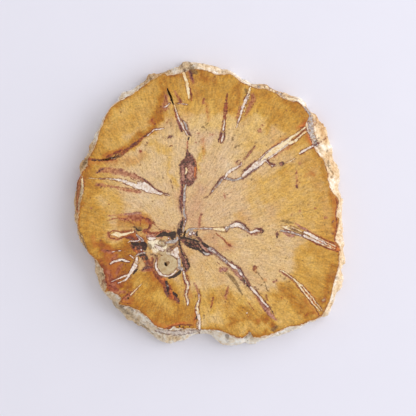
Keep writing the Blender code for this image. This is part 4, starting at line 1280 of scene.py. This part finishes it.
class Graph:
    """A material's nodes, with a short way to add each kind that the stone needs."""

    MIX_SOCKETS = (0, 6, 7)  # where a mix node takes the share, the colour below and the one above
    MIX_RESULT = 2
    NOISE_STEP = (31.0, 17.0, 7.0)  # how far a shift of 1 moves a pattern, in patches
    CELL_STEP = (13.0, 5.0, 1.0)  # the same for cells, in millimetres
    ROUGH = 0.55  # how strong the finer patterns of a noise are
    GAIN = 3.0  # stretches a noise to about -1 to 1
    RIPPLE_MM = 14.0  # the size of the bends in the rays of the grain
    BEND_MM = 3.0  # how far they bend
    REACH_MM = 40.0  # where a ray has the width that it is given
    RAY_STRETCH = 0.22  # how much longer than wide a stroke of a ray is, the less the longer

    def __init__(self, name: str) -> None:
        """Start a material."""
        self.material = bpy.data.materials.new(name)
        self.material.use_nodes = True
        self.tree = self.material.node_tree
        self.shader = self.tree.nodes["Principled BSDF"]
        where = self.add("ShaderNodeTexCoord").outputs["Object"]
        self.place = self.vector("SCALE", Signal(self, where), 1.0 / MM)

    def add(self, kind: str, **settings: object) -> bpy.types.Node:
        """Add a node.

        Args:
            kind: The node's type.
            settings: Its properties.

        Returns:
            The node.
        """
        node = self.tree.nodes.new(kind)
        for name, value in settings.items():
            setattr(node, name, value)
        return node

    def put(self, socket: bpy.types.NodeSocket, value: Value) -> None:
        """Link a signal to a socket, or set a plain value there."""
        if isinstance(value, Signal):
            self.tree.links.new(value.socket, socket)
        else:
            socket.default_value = value

    def feed(self, kind: str, *values: Value, inputs: dict[str, Value] | None = None,
             result: str | int = 0, **settings: object) -> Signal:
        """Add a node and give it what it works on.

        Args:
            kind: The node's type.
            values: What its first sockets take.
            inputs: What other sockets take, by name.
            result: Which of its outputs is wanted.
            settings: Its properties.

        Returns:
            What comes out.
        """
        node = self.add(kind, **settings)
        for socket, value in zip(node.inputs, values):
            self.put(socket, value)
        for name, value in (inputs or {}).items():
            self.put(node.inputs[name], value)
        return Signal(self, node.outputs[result])

    def math(self, operation: str, *values: Value, clamp: bool = False) -> Signal:
        """Do a sum that Blender names, kept between 0 and 1 if it is to be clamped."""
        return self.feed("ShaderNodeMath", *values, operation=operation, use_clamp=clamp)

    def vector(self, operation: str, first: Value, second: Value) -> Signal:
        """Do a sum with a vector, and another vector or the number to scale by."""
        inputs = {"Scale": second} if operation == "SCALE" else {}
        return self.feed("ShaderNodeVectorMath", first, *(() if inputs else (second,)), inputs=inputs,
                         operation=operation)

    def read(self, name: str) -> Signal:
        """Read a value stored on the mesh."""
        return self.feed("ShaderNodeAttribute", result="Fac", attribute_name=name)

    def cloud(self, where: Signal, size: float, detail: float, **more: float) -> Signal:
        """Read a noise, from about -1 to 1, at a place in millimetres."""
        inputs = {"Vector": where, "Scale": 1.0 / size, "Detail": detail, **more}
        cloudy = self.feed("ShaderNodeTexNoise", inputs=inputs)
        return self.math("MULTIPLY_ADD", cloudy, self.GAIN, -self.GAIN / 2)

    def noise(self, size: float, detail: float = 2.0, shift: float = 0.0,
              stretch: Trio = (1.0, 1.0, 1.0)) -> Signal:
        """Add a cloudy pattern.

        Args:
            size: The size of its patches, in millimetres.
            detail: How many finer patterns lie over it.
            shift: Moves the pattern, so that two of a size differ.
            stretch: How much closer together the patches are along each axis.

        Returns:
            The pattern, from about -1 to 1.
        """
        where = self.vector("MULTIPLY", self.place, stretch)
        where = self.vector("ADD", where, tuple(shift * step for step in self.NOISE_STEP))
        return self.cloud(where, size, detail, Roughness=self.ROUGH)

    def rays(self, size: float) -> Signal:
        """Add a fine pattern of rays out from the heart of the log, each a line of grain.

        Args:
            size: The width of a ray at REACH_MM from the heart, in millimetres.

        Returns:
            The pattern, from about -1 to 1.
        """
        x, y = place(np.array([HEART_MIDDLE]))[0] + self.BEND_MM / 2
        ripple = self.feed("ShaderNodeTexNoise", result="Color",
                           inputs={"Vector": self.place, "Scale": 1.0 / self.RIPPLE_MM})
        away = self.vector("SUBTRACT", self.place, (x, y, 0.0))
        away = self.vector("ADD", away, self.vector("SCALE", ripple, self.BEND_MM))
        away = self.vector("MULTIPLY", away, (1.0, 1.0, 0.0))
        along = self.feed("ShaderNodeVectorMath", away, result="Value", operation="LENGTH")
        turned = self.vector("SCALE", self.vector("NORMALIZE", away, (0.0, 0.0, 0.0)), self.REACH_MM)
        lift = self.feed("ShaderNodeCombineXYZ", inputs={"Z": along * self.RAY_STRETCH})
        return self.cloud(self.vector("ADD", turned, lift), size, 2.0)

    def cells(self, size: float, shift: float) -> tuple[Signal, Signal]:
        """Add a pattern of scattered cells.

        Args:
            size: The size of a cell, in millimetres.
            shift: Moves the pattern.

        Returns:
            The distance to the middle of a cell as a share of its size, and a number for each cell.
        """
        node = self.add("ShaderNodeTexVoronoi")
        moved = self.vector("ADD", self.place, tuple(shift * step for step in self.CELL_STEP))
        self.put(node.inputs["Vector"], moved)
        self.put(node.inputs["Scale"], 1.0 / size)
        number = self.feed("ShaderNodeSeparateColor", Signal(self, node.outputs["Color"]))
        return Signal(self, node.outputs["Distance"]), number

    def mix(self, under: Value, over: Value, share: Value, way: str = "MIX") -> Signal:
        """Lay one colour over another.

        Args:
            under: The colour below.
            over: The colour above.
            share: How much of it shows.
            way: How the two are blended.

        Returns:
            The colour.
        """
        node = self.add("ShaderNodeMix", data_type="RGBA", blend_type=way, clamp_factor=True)
        for number, value in zip(self.MIX_SOCKETS, (share, under, over)):
            self.put(node.inputs[number], value)
        return Signal(self, node.outputs[self.MIX_RESULT])

    def ramp(self, value: Signal, stops: tuple[tuple[float, Shade], ...]) -> Signal:
        """Turn a value into a colour.

        Args:
            value: The value to read.
            stops: The colour at each of some values, in rising order.

        Returns:
            The colour.
        """
        low = stops[0][0]
        span = stops[-1][0] - low
        node = self.add("ShaderNodeValToRGB")
        bands = node.color_ramp.elements
        while len(bands) < len(stops):
            bands.new(0.5)
        for band, (where, _) in zip(bands, stops):
            band.position = (where - low) / span
        for band, (_, shade) in zip(bands, stops):
            band.color = paint(shade, HAZE)
        self.put(node.inputs[0], self.math("MULTIPLY_ADD", value, 1.0 / span, -low / span))
        return Signal(self, node.outputs[0])

    def bump(self, height: Signal, distance: float) -> None:
        """Give the surface a relief in which a step of 1 is so many millimetres high."""
        inputs = {"Strength": 1.0, "Distance": distance * MM, "Height": height}
        self.put(self.shader.inputs["Normal"], self.feed("ShaderNodeBump", inputs=inputs))

    def coat(self, colour: Value, rough: Value) -> bpy.types.Material:
        """Give the shader its colour and roughness, and hand over the material."""
        self.put(self.shader.inputs["Base Color"], colour)
        self.put(self.shader.inputs["Roughness"], rough)
        return self.material


@dataclass(frozen=True)
class Layer:
    """How one mineral looks."""

    mineral: Mineral
    dark: Shade
    light: Shade
    fleck: Shade
    cover: float  # how much of the ground it hides
    soft: float  # half the width of its edge, in millimetres
    ragged: float  # how far its edge wanders
    patch: float  # the size of its lighter and darker patches
    holes: float  # how much the ground shows through in places
    outline: float = 0.0  # how strong the brown line around it is
    rough: float = 0.0  # how much duller or glossier than the ground it is


LAYERS = (
    Layer(HALO, (178, 98, 46), (204, 130, 68), (146, 68, 38), 0.58, 0.8, 0.6, 1.4, 0.6),
    Layer(BLUSH, (132, 66, 54), (196, 128, 102), (104, 50, 46), 0.78, 0.35, 0.6, 0.9, 0.8),
    Layer(OLIVE, (96, 70, 44), (150, 120, 78), (66, 50, 38), 0.8, 0.2, 0.25, 0.9, 0.4),
    Layer(BUFF, (180, 151, 109), (208, 188, 147), (156, 130, 92), 0.94, 0.16, 0.16, 2.2, 0.0, 0.3, -0.05),
    Layer(RUST, (96, 40, 28), (172, 92, 62), (66, 34, 32), 0.88, 0.15, 0.25, 0.8, 0.6),
    Layer(PLUM, (58, 28, 34), (138, 84, 78), (180, 144, 136), 0.92, 0.14, 0.24, 0.8, 0.35, 0.35),
    Layer(MAUVE, (140, 80, 68), (206, 156, 138), (92, 50, 48), 0.84, 0.18, 0.25, 0.8, 0.3),
    Layer(ORANGE, (176, 80, 34), (224, 140, 76), (130, 58, 34), 0.86, 0.18, 0.24, 0.8, 0.35),
    Layer(GREY, (142, 130, 124), (212, 208, 200), (100, 82, 82), 0.88, 0.13, 0.18, 0.8, 0.15, 0.6, -0.08),
    Layer(
        WHITE, (214, 190, 168), (252, 243, 230), (172, 136, 118), 0.94, 0.12, 0.16, 0.9, 0.14, 0.85, -0.1
    ),
    Layer(CREAM, (232, 198, 142), (252, 238, 200), (190, 144, 96), 0.94, 0.12, 0.15, 0.9, 0.12, 0.6, -0.06),
    Layer(BLACK, (17, 10, 14), (64, 47, 50), (106, 88, 86), 0.95, 0.11, 0.2, 0.8, 0.0, 0.0, -0.04),
)
TONES = (
    (-0.3, (240, 226, 194)), (0.0, (216, 187, 147)), (0.25, (212, 177, 124)), (0.5, (206, 163, 94)),
    (0.75, (191, 142, 68)), (1.0, (170, 112, 48)), (1.25, (148, 80, 38)), (1.5, (116, 50, 30)),
)
PINKS = (
    (-0.3, (236, 218, 196)), (0.0, (206, 172, 144)), (0.5, (200, 154, 112)), (1.0, (172, 108, 70)),
    (1.5, (124, 58, 42)),
)
GOLDS = (
    (-0.3, (242, 226, 176)), (0.0, (222, 190, 124)), (0.5, (212, 168, 76)), (1.0, (180, 124, 38)),
    (1.5, (136, 80, 30)),
)


@dataclass(frozen=True)
class Specks:
    """Small round specks scattered over the ground."""

    spacing: float  # in millimetres
    size: float  # as a share of the spacing
    rarity: float  # the share of places without one
    shade: Shade
    cover: float
    shift: float


@dataclass(frozen=True)
class PolishedStone:
    """The finish of the polished face."""

    name: str = "polished_stone"
    roughness: float = 0.4
    strength: float = 1.0  # how strongly the veins show
    rust_line: float = 0.45  # width of the brown line along the edge, in millimetres
    rust_shade: Shade = (136, 74, 36)
    outline_shade: Shade = (110, 50, 40)
    pepper_shade: Shade = (142, 90, 52)
    specks: tuple[Specks, ...] = (
        Specks(1.9, 0.1, 0.62, (126, 84, 48), 0.55, 1.0),
        Specks(1.3, 0.1, 0.72, (232, 208, 168), 0.45, 2.0),
        Specks(4.2, 0.09, 0.5, (108, 66, 44), 0.6, 3.0),
    )

    def ground(self, graph: Graph) -> Signal:
        """Colour the stone between the veins.

        Args:
            graph: The material.

        Returns:
            The colour.
        """
        tone = graph.read("tone") * (graph.noise(2.0, 4.0, 18.0) * 0.16 + 1.0)
        for size, detail, amount in ((10.0, 2.0, 0.08), (3.6, 3.0, 0.1), (1.3, 4.0, 0.05)):
            tone += graph.noise(size, detail, size) * amount
        streaky = graph.noise(7.0, 2.0, 15.0).rise(-0.6, 0.6)
        tone += graph.rays(0.9) * streaky * 0.12
        tone += graph.rays(2.6) * 0.1
        hue = graph.read("hue") + graph.noise(4.0, 3.0, 3.0) * 0.4
        golden = graph.math("MULTIPLY", hue, -1.0, clamp=True)
        colour = graph.mix(graph.ramp(tone, TONES), graph.ramp(tone, GOLDS), golden)
        colour = graph.mix(colour, graph.ramp(tone, PINKS), hue)
        grain = graph.noise(0.62, 2.0, 6.0) * 0.36 + graph.noise(1.0, 3.0, 5.0) * 0.2
        grain += graph.rays(0.6) * 0.28
        colour = graph.mix(colour, graph.vector("SCALE", (1.0, 1.0, 1.0), grain + 1.0), 1.0, "MULTIPLY")
        pepper = graph.noise(0.8, 2.0, 16.0).rise(0.36, 0.62)
        colour = graph.mix(colour, paint(self.pepper_shade, HAZE), pepper * 0.45)
        for kind in self.specks:
            distance, number = graph.cells(kind.spacing, kind.shift)
            speck = 1.0 - distance.rise(kind.size * 0.5, kind.size * 1.6)
            chosen = number.rise(kind.rarity, kind.rarity + 0.05)
            colour = graph.mix(colour, paint(kind.shade, HAZE), speck * chosen * kind.cover)
        return colour

    def veined(self, graph: Graph, colour: Signal) -> tuple[Signal, Signal]:
        """Lay the minerals over the ground.

        Args:
            graph: The material.
            colour: The ground's colour.

        Returns:
            The colour, and the roughness.
        """
        rough = graph.noise(2.4, 2.0, 9.0) * 0.05 + self.roughness
        for number, layer in enumerate(LAYERS):
            wander = graph.noise(0.6, 3.0, 10.0 + number % 3) + graph.noise(1.8, 2.0, 13.0) * 0.5
            edge = wander * layer.ragged + graph.read(layer.mineral.value)
            if layer.outline:
                line = edge.rise(-0.58, -0.22) * graph.noise(1.3, 3.0, 14.0 + number).rise(-0.5, 0.3)
                colour = graph.mix(colour, paint(self.outline_shade, HAZE), line * layer.outline)
            patch = graph.noise(layer.patch, 4.0, 20.0 + number)
            hole = patch.rise(0.1, 0.8) * -layer.holes + layer.cover
            share = edge.rise(-layer.soft, layer.soft) * (hole * self.strength)
            shade = graph.mix(paint(layer.dark, HAZE), paint(layer.light, HAZE), patch.rise(-0.5, 0.5))
            fleck = graph.noise(0.75, 3.0, 40.0 + number).rise(0.25, 0.7)
            shade = graph.mix(shade, paint(layer.fleck, HAZE), fleck * 0.75)
            colour = graph.mix(colour, shade, share)
            rough = share * layer.rough + rough
        return colour, rough

    def edge_line(self, graph: Graph, colour: Signal) -> Signal:
        """Draw the rusty line where the polished face meets the rind.

        Args:
            graph: The material.
            colour: The colour so far.

        Returns:
            The colour.
        """
        inward = graph.noise(1.2, 3.0, 7.0) * 0.28 + graph.read("rim")
        line = 1.0 - inward.rise(self.rust_line * 0.3, self.rust_line * 1.8)
        broken = graph.noise(5.0, 2.0, 8.0).rise(-0.5, 0.3)
        return graph.mix(colour, paint(self.rust_shade, HAZE), line * broken * 0.75)

    def relief(self, graph: Graph) -> None:
        """Give the face the faint relief of a hand polish."""
        graph.bump(graph.noise(0.5, 4.0, 30.0) + graph.noise(3.0, 1.0, 31.0) * 2.0, 0.006)

    def make(self) -> bpy.types.Material:
        """Make the material."""
        graph = Graph(self.name)
        colour, rough = self.veined(graph, self.edge_line(graph, self.ground(graph)))
        self.relief(graph)
        return graph.coat(colour, rough)


@dataclass(frozen=True)
class SawnStone(PolishedStone):
    """The finish of the underside: the same stone as the saw left it."""

    name: str = "sawn_stone"
    roughness: float = 0.72
    strength: float = 0.9
    dust_shade: Shade = (206, 192, 168)

    def ground(self, graph: Graph) -> Signal:
        """Colour the stone between the veins, under a thin grey dust."""
        dust = graph.noise(6.0, 4.0, 40.0).rise(-0.9, 0.9) * 0.25 + 0.12
        return graph.mix(super().ground(graph), paint(self.dust_shade), dust)

    def relief(self, graph: Graph) -> None:
        """Cut the saw's shallow curved marks."""
        marks = graph.noise(1.4, 2.0, 41.0, (1.0, 0.03, 1.0))
        graph.bump(marks + graph.noise(0.4, 4.0, 42.0) * 0.7, 0.05)


@dataclass(frozen=True)
class WeatheredRind(PolishedStone):
    """The finish of the rind: chalky cream crust, with a painted brown shade in its hollows."""

    name: str = "weathered_rind"
    roughness: float = 0.86
    strength: float = 0.9
    white: tuple[Shade, Shade] = ((248, 236, 212), (255, 254, 246))  # its darker and its lighter shade
    cream: tuple[Shade, Shade] = ((208, 174, 128), (242, 216, 174))
    brown: tuple[Shade, Shade] = ((186, 138, 84), (232, 190, 134))
    soil: tuple[Shade, Shade] = ((136, 114, 90), (206, 186, 154))
    dark_soil: Shade = (96, 84, 70)
    layer_shade: Shade = (170, 144, 112)
    inner_shade: Shade = (196, 142, 80)
    # painted shade for the rind's hollows, darker the deeper they are worn
    painted_recess_shade: Shade = (124, 96, 70)

    def ground(self, graph: Graph) -> Signal:
        """Colour the crust.

        Args:
            graph: The material.

        Returns:
            The colour.
        """
        hue = graph.read("hue") + graph.noise(2.6, 3.0, 51.0) * 0.35
        patch = graph.noise(1.5, 4.0, 50.0).rise(-0.6, 0.5)
        pairs = (self.white, self.cream, self.brown)
        white, cream, brown = (graph.mix(paint(dark), paint(light), patch) for dark, light in pairs)
        crust = graph.mix(graph.mix(white, cream, hue.rise(0.0, 0.5)), brown, hue.rise(0.5, 1.0))
        # The zones' tone: real dirt, and also painted light, paler on the shaded south and darker on the
        # lit east
        dirt_and_painted_light = graph.read("tone") + graph.noise(1.6, 5.0, 52.0) * 0.5 + -0.4
        loose = graph.noise(0.9, 4.0, 53.0).rise(-0.6, 0.5)
        soil = graph.mix(paint(self.soil[0]), paint(self.soil[1]), loose)
        crust = graph.mix(crust, soil, dirt_and_painted_light.rise(0.1, 0.8) * 0.85)
        crust = graph.mix(crust, paint(self.dark_soil), dirt_and_painted_light.rise(0.75, 1.15) * 0.75)
        layered = graph.noise(2.6, 3.0, 58.0, (0.35, 0.35, 5.0)).rise(0.15, 0.7)
        layered *= graph.read("tone").rise(0.2, 0.6)
        crust = graph.mix(crust, paint(self.layer_shade), layered * 0.5)
        inner = graph.read("rim") + graph.noise(1.5, 3.0, 57.0) * 0.4
        crust = graph.mix(crust, paint(self.inner_shade), inner.rise(-0.7, -0.1) * 0.6)
        # Painted shade in the hollows: the deeper the fine wear, the darker the crust
        hollow = graph.read("worn") + graph.noise(0.5, 3.0, 54.0) * 0.12
        return graph.mix(crust, paint(self.painted_recess_shade), hollow.rise(0.36, 1.05) * 0.65)

    def edge_line(self, graph: Graph, colour: Signal) -> Signal:
        """Leave the crust as it is at the face's edge."""
        return colour

    def relief(self, graph: Graph) -> None:
        """Roughen the crust."""
        graph.bump(graph.noise(0.55, 5.0, 55.0) + graph.noise(0.2, 2.0, 56.0), 0.09)


@dataclass(frozen=True)
class Sheet:
    """Where the parts of the slice lie on the flat sheet for baking, which is 1 wide and 1 high."""

    face_middle: Point = (0.33, 0.345)
    face_scale: float = 5.8  # the sheet's length of a metre
    under_middle: Point = (0.83, 0.18)
    under_scale: Point = (-2.9, 2.9)
    strips: int = 3  # what the rind is cut into
    strip_corner: Point = (0.01, 0.7)  # of the lowest strip
    strip_length: float = 0.69
    strip_width: float = 0.082
    strip_step: float = 0.095  # from one strip to the next

    def unroll(self, mesh: bpy.types.Mesh, rings: int, columns: int, finish: np.ndarray) -> None:
        """Lay the mesh out flat: the face, the underside at half size, and the rind in strips.

        Args:
            mesh: The mesh.
            rings: How many rings of faces the rind has.
            columns: How many columns it has.
            finish: Which finish each face has.
        """
        corners = np.zeros(len(mesh.loops), dtype=np.int32)
        mesh.loops.foreach_get("vertex_index", corners)
        kind = np.repeat(finish, np.where(finish == 1, 4, 3))
        points = np.zeros(len(mesh.vertices) * 3)
        mesh.vertices.foreach_get("co", points)
        plan = points.reshape(-1, 3)[corners, :2]
        spread = np.zeros((len(corners), 2))
        spread[kind == 0] = self.face_middle + plan[kind == 0] * self.face_scale
        spread[kind == 2] = self.under_middle + plan[kind == 2] * self.under_scale
        quads = np.arange((finish == 1).sum())
        column = (quads // rings)[:, None] + np.array([0, 1, 1, 0])
        ring = (quads % rings)[:, None] + np.array([0, 0, 1, 1])
        strip = column[:, :1] * self.strips // columns
        along = self.strip_corner[0] + (column * self.strips / columns - strip) * self.strip_length
        up = self.strip_corner[1] + strip * self.strip_step + ring / rings * self.strip_width
        spread[kind == 1] = np.stack([along, up], axis=-1).reshape(-1, 2)
        mesh.uv_layers.new(name="OFBake").data.foreach_set("uv", spread.astype(np.float32).ravel())


@dataclass
class Slice:
    """The whole slice: its rind, its polished face and its sawn underside, as one mesh."""

    thickness: float  # in millimetres
    low: tuple[float, float]  # the solid's box, which the mesh stays inside
    high: tuple[float, float]
    face_grid: Trio = (0.62, 0.42, 0.13)  # how far apart points are on ground, veins and hollows
    under_grid: Trio = (0.95, 0.8, 0.0)
    edge_drop: float = 0.14  # how far the polish rounds the edge, and over what width
    edge_width: float = 0.6
    chip_size: float = 1.7  # of the small chips along the edge
    chip_depth: float = 1.5  # as a share of the rounding
    dish_depth: float = 0.015  # how uneven the polish is, and over what length
    dish_size: float = 9.0
    black_dip: float = 0.06  # how far the softer minerals are polished down
    plum_dip: float = 0.02
    rind_weakening: float = 0.28  # how much narrower the veins are on the rind
    stain_fading: float = 1.6  # how much less far the stains reach on the rind
    low_weakening: float = 0.35  # how much narrower still the veins are at its foot
    low_sway: float = 1.6  # how far the veins wander on their way down the rind
    inset: float = 0.2  # how far in from the face's edge the rind's veins are read
    rind_depth: float = 25.0  # how far in the rind's ground is read, past the edge's tones
    channels: dict[str, np.ndarray] = field(default_factory=dict)

    def face_heights(self, plan: np.ndarray, rim: np.ndarray, depths: Depths) -> np.ndarray:
        """Work out the polished face's relief.

        Args:
            plan: Positions in millimetres.
            rim: How far in from the edge they are.
            depths: How deep they lie in each mineral.

        Returns:
            Heights above the flat face in millimetres, mostly negative.
        """
        dish, chips = (
            np.array([noise.noise(Vector((x / size, y / size, seed))) for x, y in plan])
            for size, seed in ((self.dish_size, 4.0), (self.chip_size, 8.0))
        )
        height = self.dish_depth * dish
        chipped = 1.0 + self.chip_depth * np.clip(chips, -0.6, 1.0)
        height -= self.edge_drop * (1.0 - blend(rim, 0.0, self.edge_width)) * chipped
        black, plum = (blend(depths[mineral], -0.05, 0.2) for mineral in (BLACK, PLUM))
        height -= self.black_dip * black + self.plum_dip * plum
        for hollow in HOLLOWS:
            height -= hollow.depth * blend(depth_in(smooth_line(hollow.line), plan), -0.06, 0.3)
        return np.minimum(height, 0.0)

    def record(self, depths: Depths, **extra: np.ndarray) -> None:
        """Keep what the finishes read, for one more part of the mesh."""
        for name, values in {**{mineral.value: depths[mineral] for mineral in Mineral}, **extra}.items():
            self.channels[name] = np.concatenate([self.channels.get(name, np.zeros(0)), values])

    def flat_part(self, edge: np.ndarray, up: bool) -> tuple[np.ndarray, np.ndarray]:
        """Build one flat face and record what its finish reads.

        Args:
            edge: The points of its edge, which it shares with the rind.
            up: Whether it is the polished face.

        Returns:
            Its own points, without the edge's, and its triangles, which number the edge first.
        """
        face = FlatFace(edge[:, :2], *(self.face_grid if up else self.under_grid))
        plan, triangles = face.fill(FACE_VEINS)
        rim = np.maximum(face.rim(plan), 0.0)
        moved = drift(plan, VEIN_DRIFT if up else UNDER_DRIFT + VEIN_DRIFT)
        pattern = Pattern(FACE_VEINS, ZONES)
        depths = pattern.minerals(moved)
        tone, hue = pattern.ground(drift(moved, GROUND_DRIFT), rim)
        height = self.face_heights(plan, rim, depths) if up else np.zeros(len(plan))
        points = np.column_stack([plan, height + (self.thickness if up else 0.0)])
        own = slice(len(edge), None)
        self.record({mineral: depths[mineral][own] for mineral in Mineral}, tone=tone[own], hue=hue[own],
                    rim=rim[own], worn=np.zeros(len(plan) - len(edge)))
        edge[:, 2] = points[:len(edge), 2]
        return points[own], triangles if up else triangles[:, ::-1]

    def rind_part(self, rind: Rind) -> None:
        """Record what the rind's finish reads.

        Args:
            rind: The rind.
        """
        angles = np.repeat(rind.angles(), rind.rings)
        outward = np.column_stack([np.cos(angles), np.sin(angles)])
        heights = rind.points[:, :, 2].ravel()
        inner = outward * (np.repeat(rind.face_radii, rind.rings) - self.inset)[:, None]
        solid = np.column_stack([inner, heights])
        sway = np.array([noise.noise_vector(stretched(Vector(row), 6.0, 5.0))[:2] for row in solid])
        fade = (1.0 - heights / self.thickness)[:, None]
        inner += sway * self.low_sway * fade
        inner = drift(inner, VEIN_DRIFT)
        plan = drift(rind.points[:, :, :2].reshape(-1, 2), RIND_DRIFT)
        through = Pattern(FACE_VEINS).minerals(inner)
        marks = Pattern(RIND_VEINS).minerals(plan)
        weak = self.rind_weakening + self.low_weakening * fade[:, 0]
        cover = np.max([marks[mineral] for mineral in Mineral if mineral not in STAINS], axis=0)
        for mineral in Mineral:
            faded = weak + self.stain_fading * (mineral in STAINS)
            marks[mineral] = np.maximum(np.minimum(through[mineral], 0.2 - cover) - faded, marks[mineral])
        # The rind zones give real dirt and hue, and also painted light: paler on the shaded south, darker
        # on the lit east
        dirt_and_painted_light, brown = Pattern((), RIND_ZONES).ground(plan, np.full(len(plan), self.rind_depth))
        self.record(marks, tone=dirt_and_painted_light, hue=brown, rim=-np.hypot(*(plan - inner).T), worn=rind.wear.ravel())

    def mesh_faces(self, rind: Rind, top: np.ndarray, under: np.ndarray,
                   top_count: int) -> tuple[list[list[int]], np.ndarray]:
        """Number the faces of the whole mesh.

        Args:
            rind: The rind.
            top: The polished face's triangles.
            under: The underside's triangles.
            top_count: How many points of its own the polished face has.

        Returns:
            The faces, and which finish each has.
        """
        column, ring = np.meshgrid(np.arange(rind.columns), np.arange(rind.rings - 1), indexing="ij")
        here, there = column * rind.rings + ring, (column + 1) % rind.columns * rind.rings + ring
        quads = np.stack([here, there, there + 1, here + 1], axis=-1).reshape(-1, 4)
        total = rind.columns * rind.rings
        edges = np.arange(rind.columns) * rind.rings
        last = rind.columns - 1
        start = total - rind.columns
        top = np.where(top > last, top + start, edges[np.minimum(top, last)] + rind.rings - 1)
        under = np.where(under > last, under + start + top_count, edges[np.minimum(under, last)])
        finish = np.repeat([1, 0, 2], [len(quads), len(top), len(under)])
        return quads.tolist() + top.tolist() + under.tolist(), finish

    def build(self) -> bpy.types.Object:
        """Build the slice as one object."""
        rind = Rind(self.thickness)
        rind.build()
        flat = rind.points[:, :, :2].reshape(-1, 2)
        rind.points[:, :, :2] = np.clip(flat, self.low, self.high).reshape(rind.columns, rind.rings, 2)
        self.rind_part(rind)
        top_edge, under_edge = rind.points[:, -1].copy(), rind.points[:, 0].copy()
        top_points, top = self.flat_part(top_edge, True)
        under_points, under = self.flat_part(under_edge, False)
        rind.points[:, -1] = top_edge
        faces, finish = self.mesh_faces(rind, top, under, len(top_points))
        points = np.vstack([rind.points.reshape(-1, 3), top_points, under_points]) * MM
        mesh = bpy.data.meshes.new("petrified_wood_slice")
        mesh.from_pydata(points.tolist(), [], faces)
        mesh.polygons.foreach_set("material_index", finish.astype(np.int32))
        mesh.polygons.foreach_set("use_smooth", np.ones(len(faces), dtype=bool))
        Sheet().unroll(mesh, rind.rings - 1, rind.columns, finish)
        ends = np.zeros(len(mesh.edges) * 2, dtype=np.int32)
        mesh.edges.foreach_get("vertices", ends)
        ring = np.where(ends < rind.columns * rind.rings, ends % rind.rings, -1).reshape(-1, 2)
        sharp = np.all(ring == rind.rings - 1, axis=1) | np.all(ring == 0, axis=1)
        mesh.attributes.new("sharp_edge", "BOOLEAN", "EDGE").data.foreach_set("value", sharp)
        for name, values in self.channels.items():
            kept = mesh.attributes.new(name, "FLOAT", "POINT")
            kept.data.foreach_set("value", values.astype(np.float32))
        for finish_kind in (PolishedStone(), WeatheredRind(), SawnStone()):
            mesh.materials.append(finish_kind.make())
        mesh.update()
        piece = bpy.data.objects.new("petrified_wood_slice", mesh)
        bpy.context.scene.collection.objects.link(piece)
        log.info("slice: %d points, %d faces", len(points), len(faces))
        return piece


@dataclass(frozen=True)
class Studio:
    """The pale floor, the soft light and the camera."""

    face_height: float  # of the polished face, in metres
    floor_side: float = 4.0
    floor_shade: Shade = (226, 226, 234)
    floor_patch_shade: Shade = (214, 215, 224)
    floor_patch: float = 28.0  # in millimetres
    floor_roughness: float = 0.85
    floor_gloss: float = 0.2
    camera_rise: float = 1.2  # above the polished face
    film_width: float = 36.0  # in millimetres
    light_side: float = 1.5
    light_rise: float = 0.5
    light_power: float = 17.5
    light_place: tuple[float, float] = (0.98, 0.31)
    light_shade: Shade = (245, 246, 255)
    sky_shade: Shade = (231, 228, 229)
    sky_strength: float = 0.91

    def floor(self) -> bpy.types.Object:
        """Lay the floor."""
        half = self.floor_side / 2
        mesh = bpy.data.meshes.new("floor")
        corners = [(-half, -half, 0), (half, -half, 0), (half, half, 0), (-half, half, 0)]
        mesh.from_pydata(corners, [], [(0, 1, 2, 3)])
        graph = Graph("matt_board")
        patches = graph.noise(self.floor_patch, 3.0).rise(-0.9, 0.9) * 0.12
        colour = graph.mix(paint(self.floor_shade), paint(self.floor_patch_shade), patches)
        graph.put(graph.shader.inputs["Specular IOR Level"], self.floor_gloss)
        mesh.materials.append(graph.coat(colour, self.floor_roughness))
        floor = bpy.data.objects.new("floor", mesh)
        bpy.context.scene.collection.objects.link(floor)
        return floor

    def light(self) -> None:
        """Hang a soft light to the upper right, and light the room evenly."""
        lamp = bpy.data.lights.new("soft_light", "AREA")
        lamp.shape = "SQUARE"
        lamp.size = self.light_side
        lamp.energy = self.light_power
        lamp.color = paint(self.light_shade)[:3]
        hung = bpy.data.objects.new("soft_light", lamp)
        hung.location = (*self.light_place, self.light_rise)
        hung.rotation_euler = hung.location.to_track_quat("Z", "Y").to_euler()
        bpy.context.scene.collection.objects.link(hung)
        world = bpy.data.worlds.new("room")
        world.use_nodes = True
        sky = world.node_tree.nodes["Background"]
        sky.inputs["Color"].default_value = paint(self.sky_shade)
        sky.inputs["Strength"].default_value = self.sky_strength
        bpy.context.scene.world = world

    def camera(self) -> None:
        """Look straight down at the middle of the page."""
        lens = bpy.data.cameras.new("camera")
        lens.sensor_width = self.film_width
        lens.lens = self.film_width * self.camera_rise / (PAGE_SQUARES * SQUARE_MM * MM)
        eye = bpy.data.objects.new("camera", lens)
        x, y = place(np.array([PAGE_MIDDLE]))[0] * MM
        eye.location = (x, y, self.face_height + self.camera_rise)
        bpy.context.scene.collection.objects.link(eye)
        bpy.context.scene.camera = eye

    def build(self) -> None:
        """Set everything up."""
        self.floor()
        self.light()
        self.camera()
        bpy.context.scene.view_settings.view_transform = "Standard"
        log.info("studio: floor, light and camera")


def main() -> None:
    """Build the slice and its studio."""
    logging.basicConfig(level=logging.INFO, format="%(message)s")
    noise.seed_set(NOISE_SEED)
    low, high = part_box(NODE)
    piece = Slice((high.z - low.z) / MM, (low.x / MM, low.y / MM), (high.x / MM, high.y / MM)).build()
    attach(piece, "root")
    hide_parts(NODE)
    Studio(high.z).build()


if __name__ == "__main__":
    main()
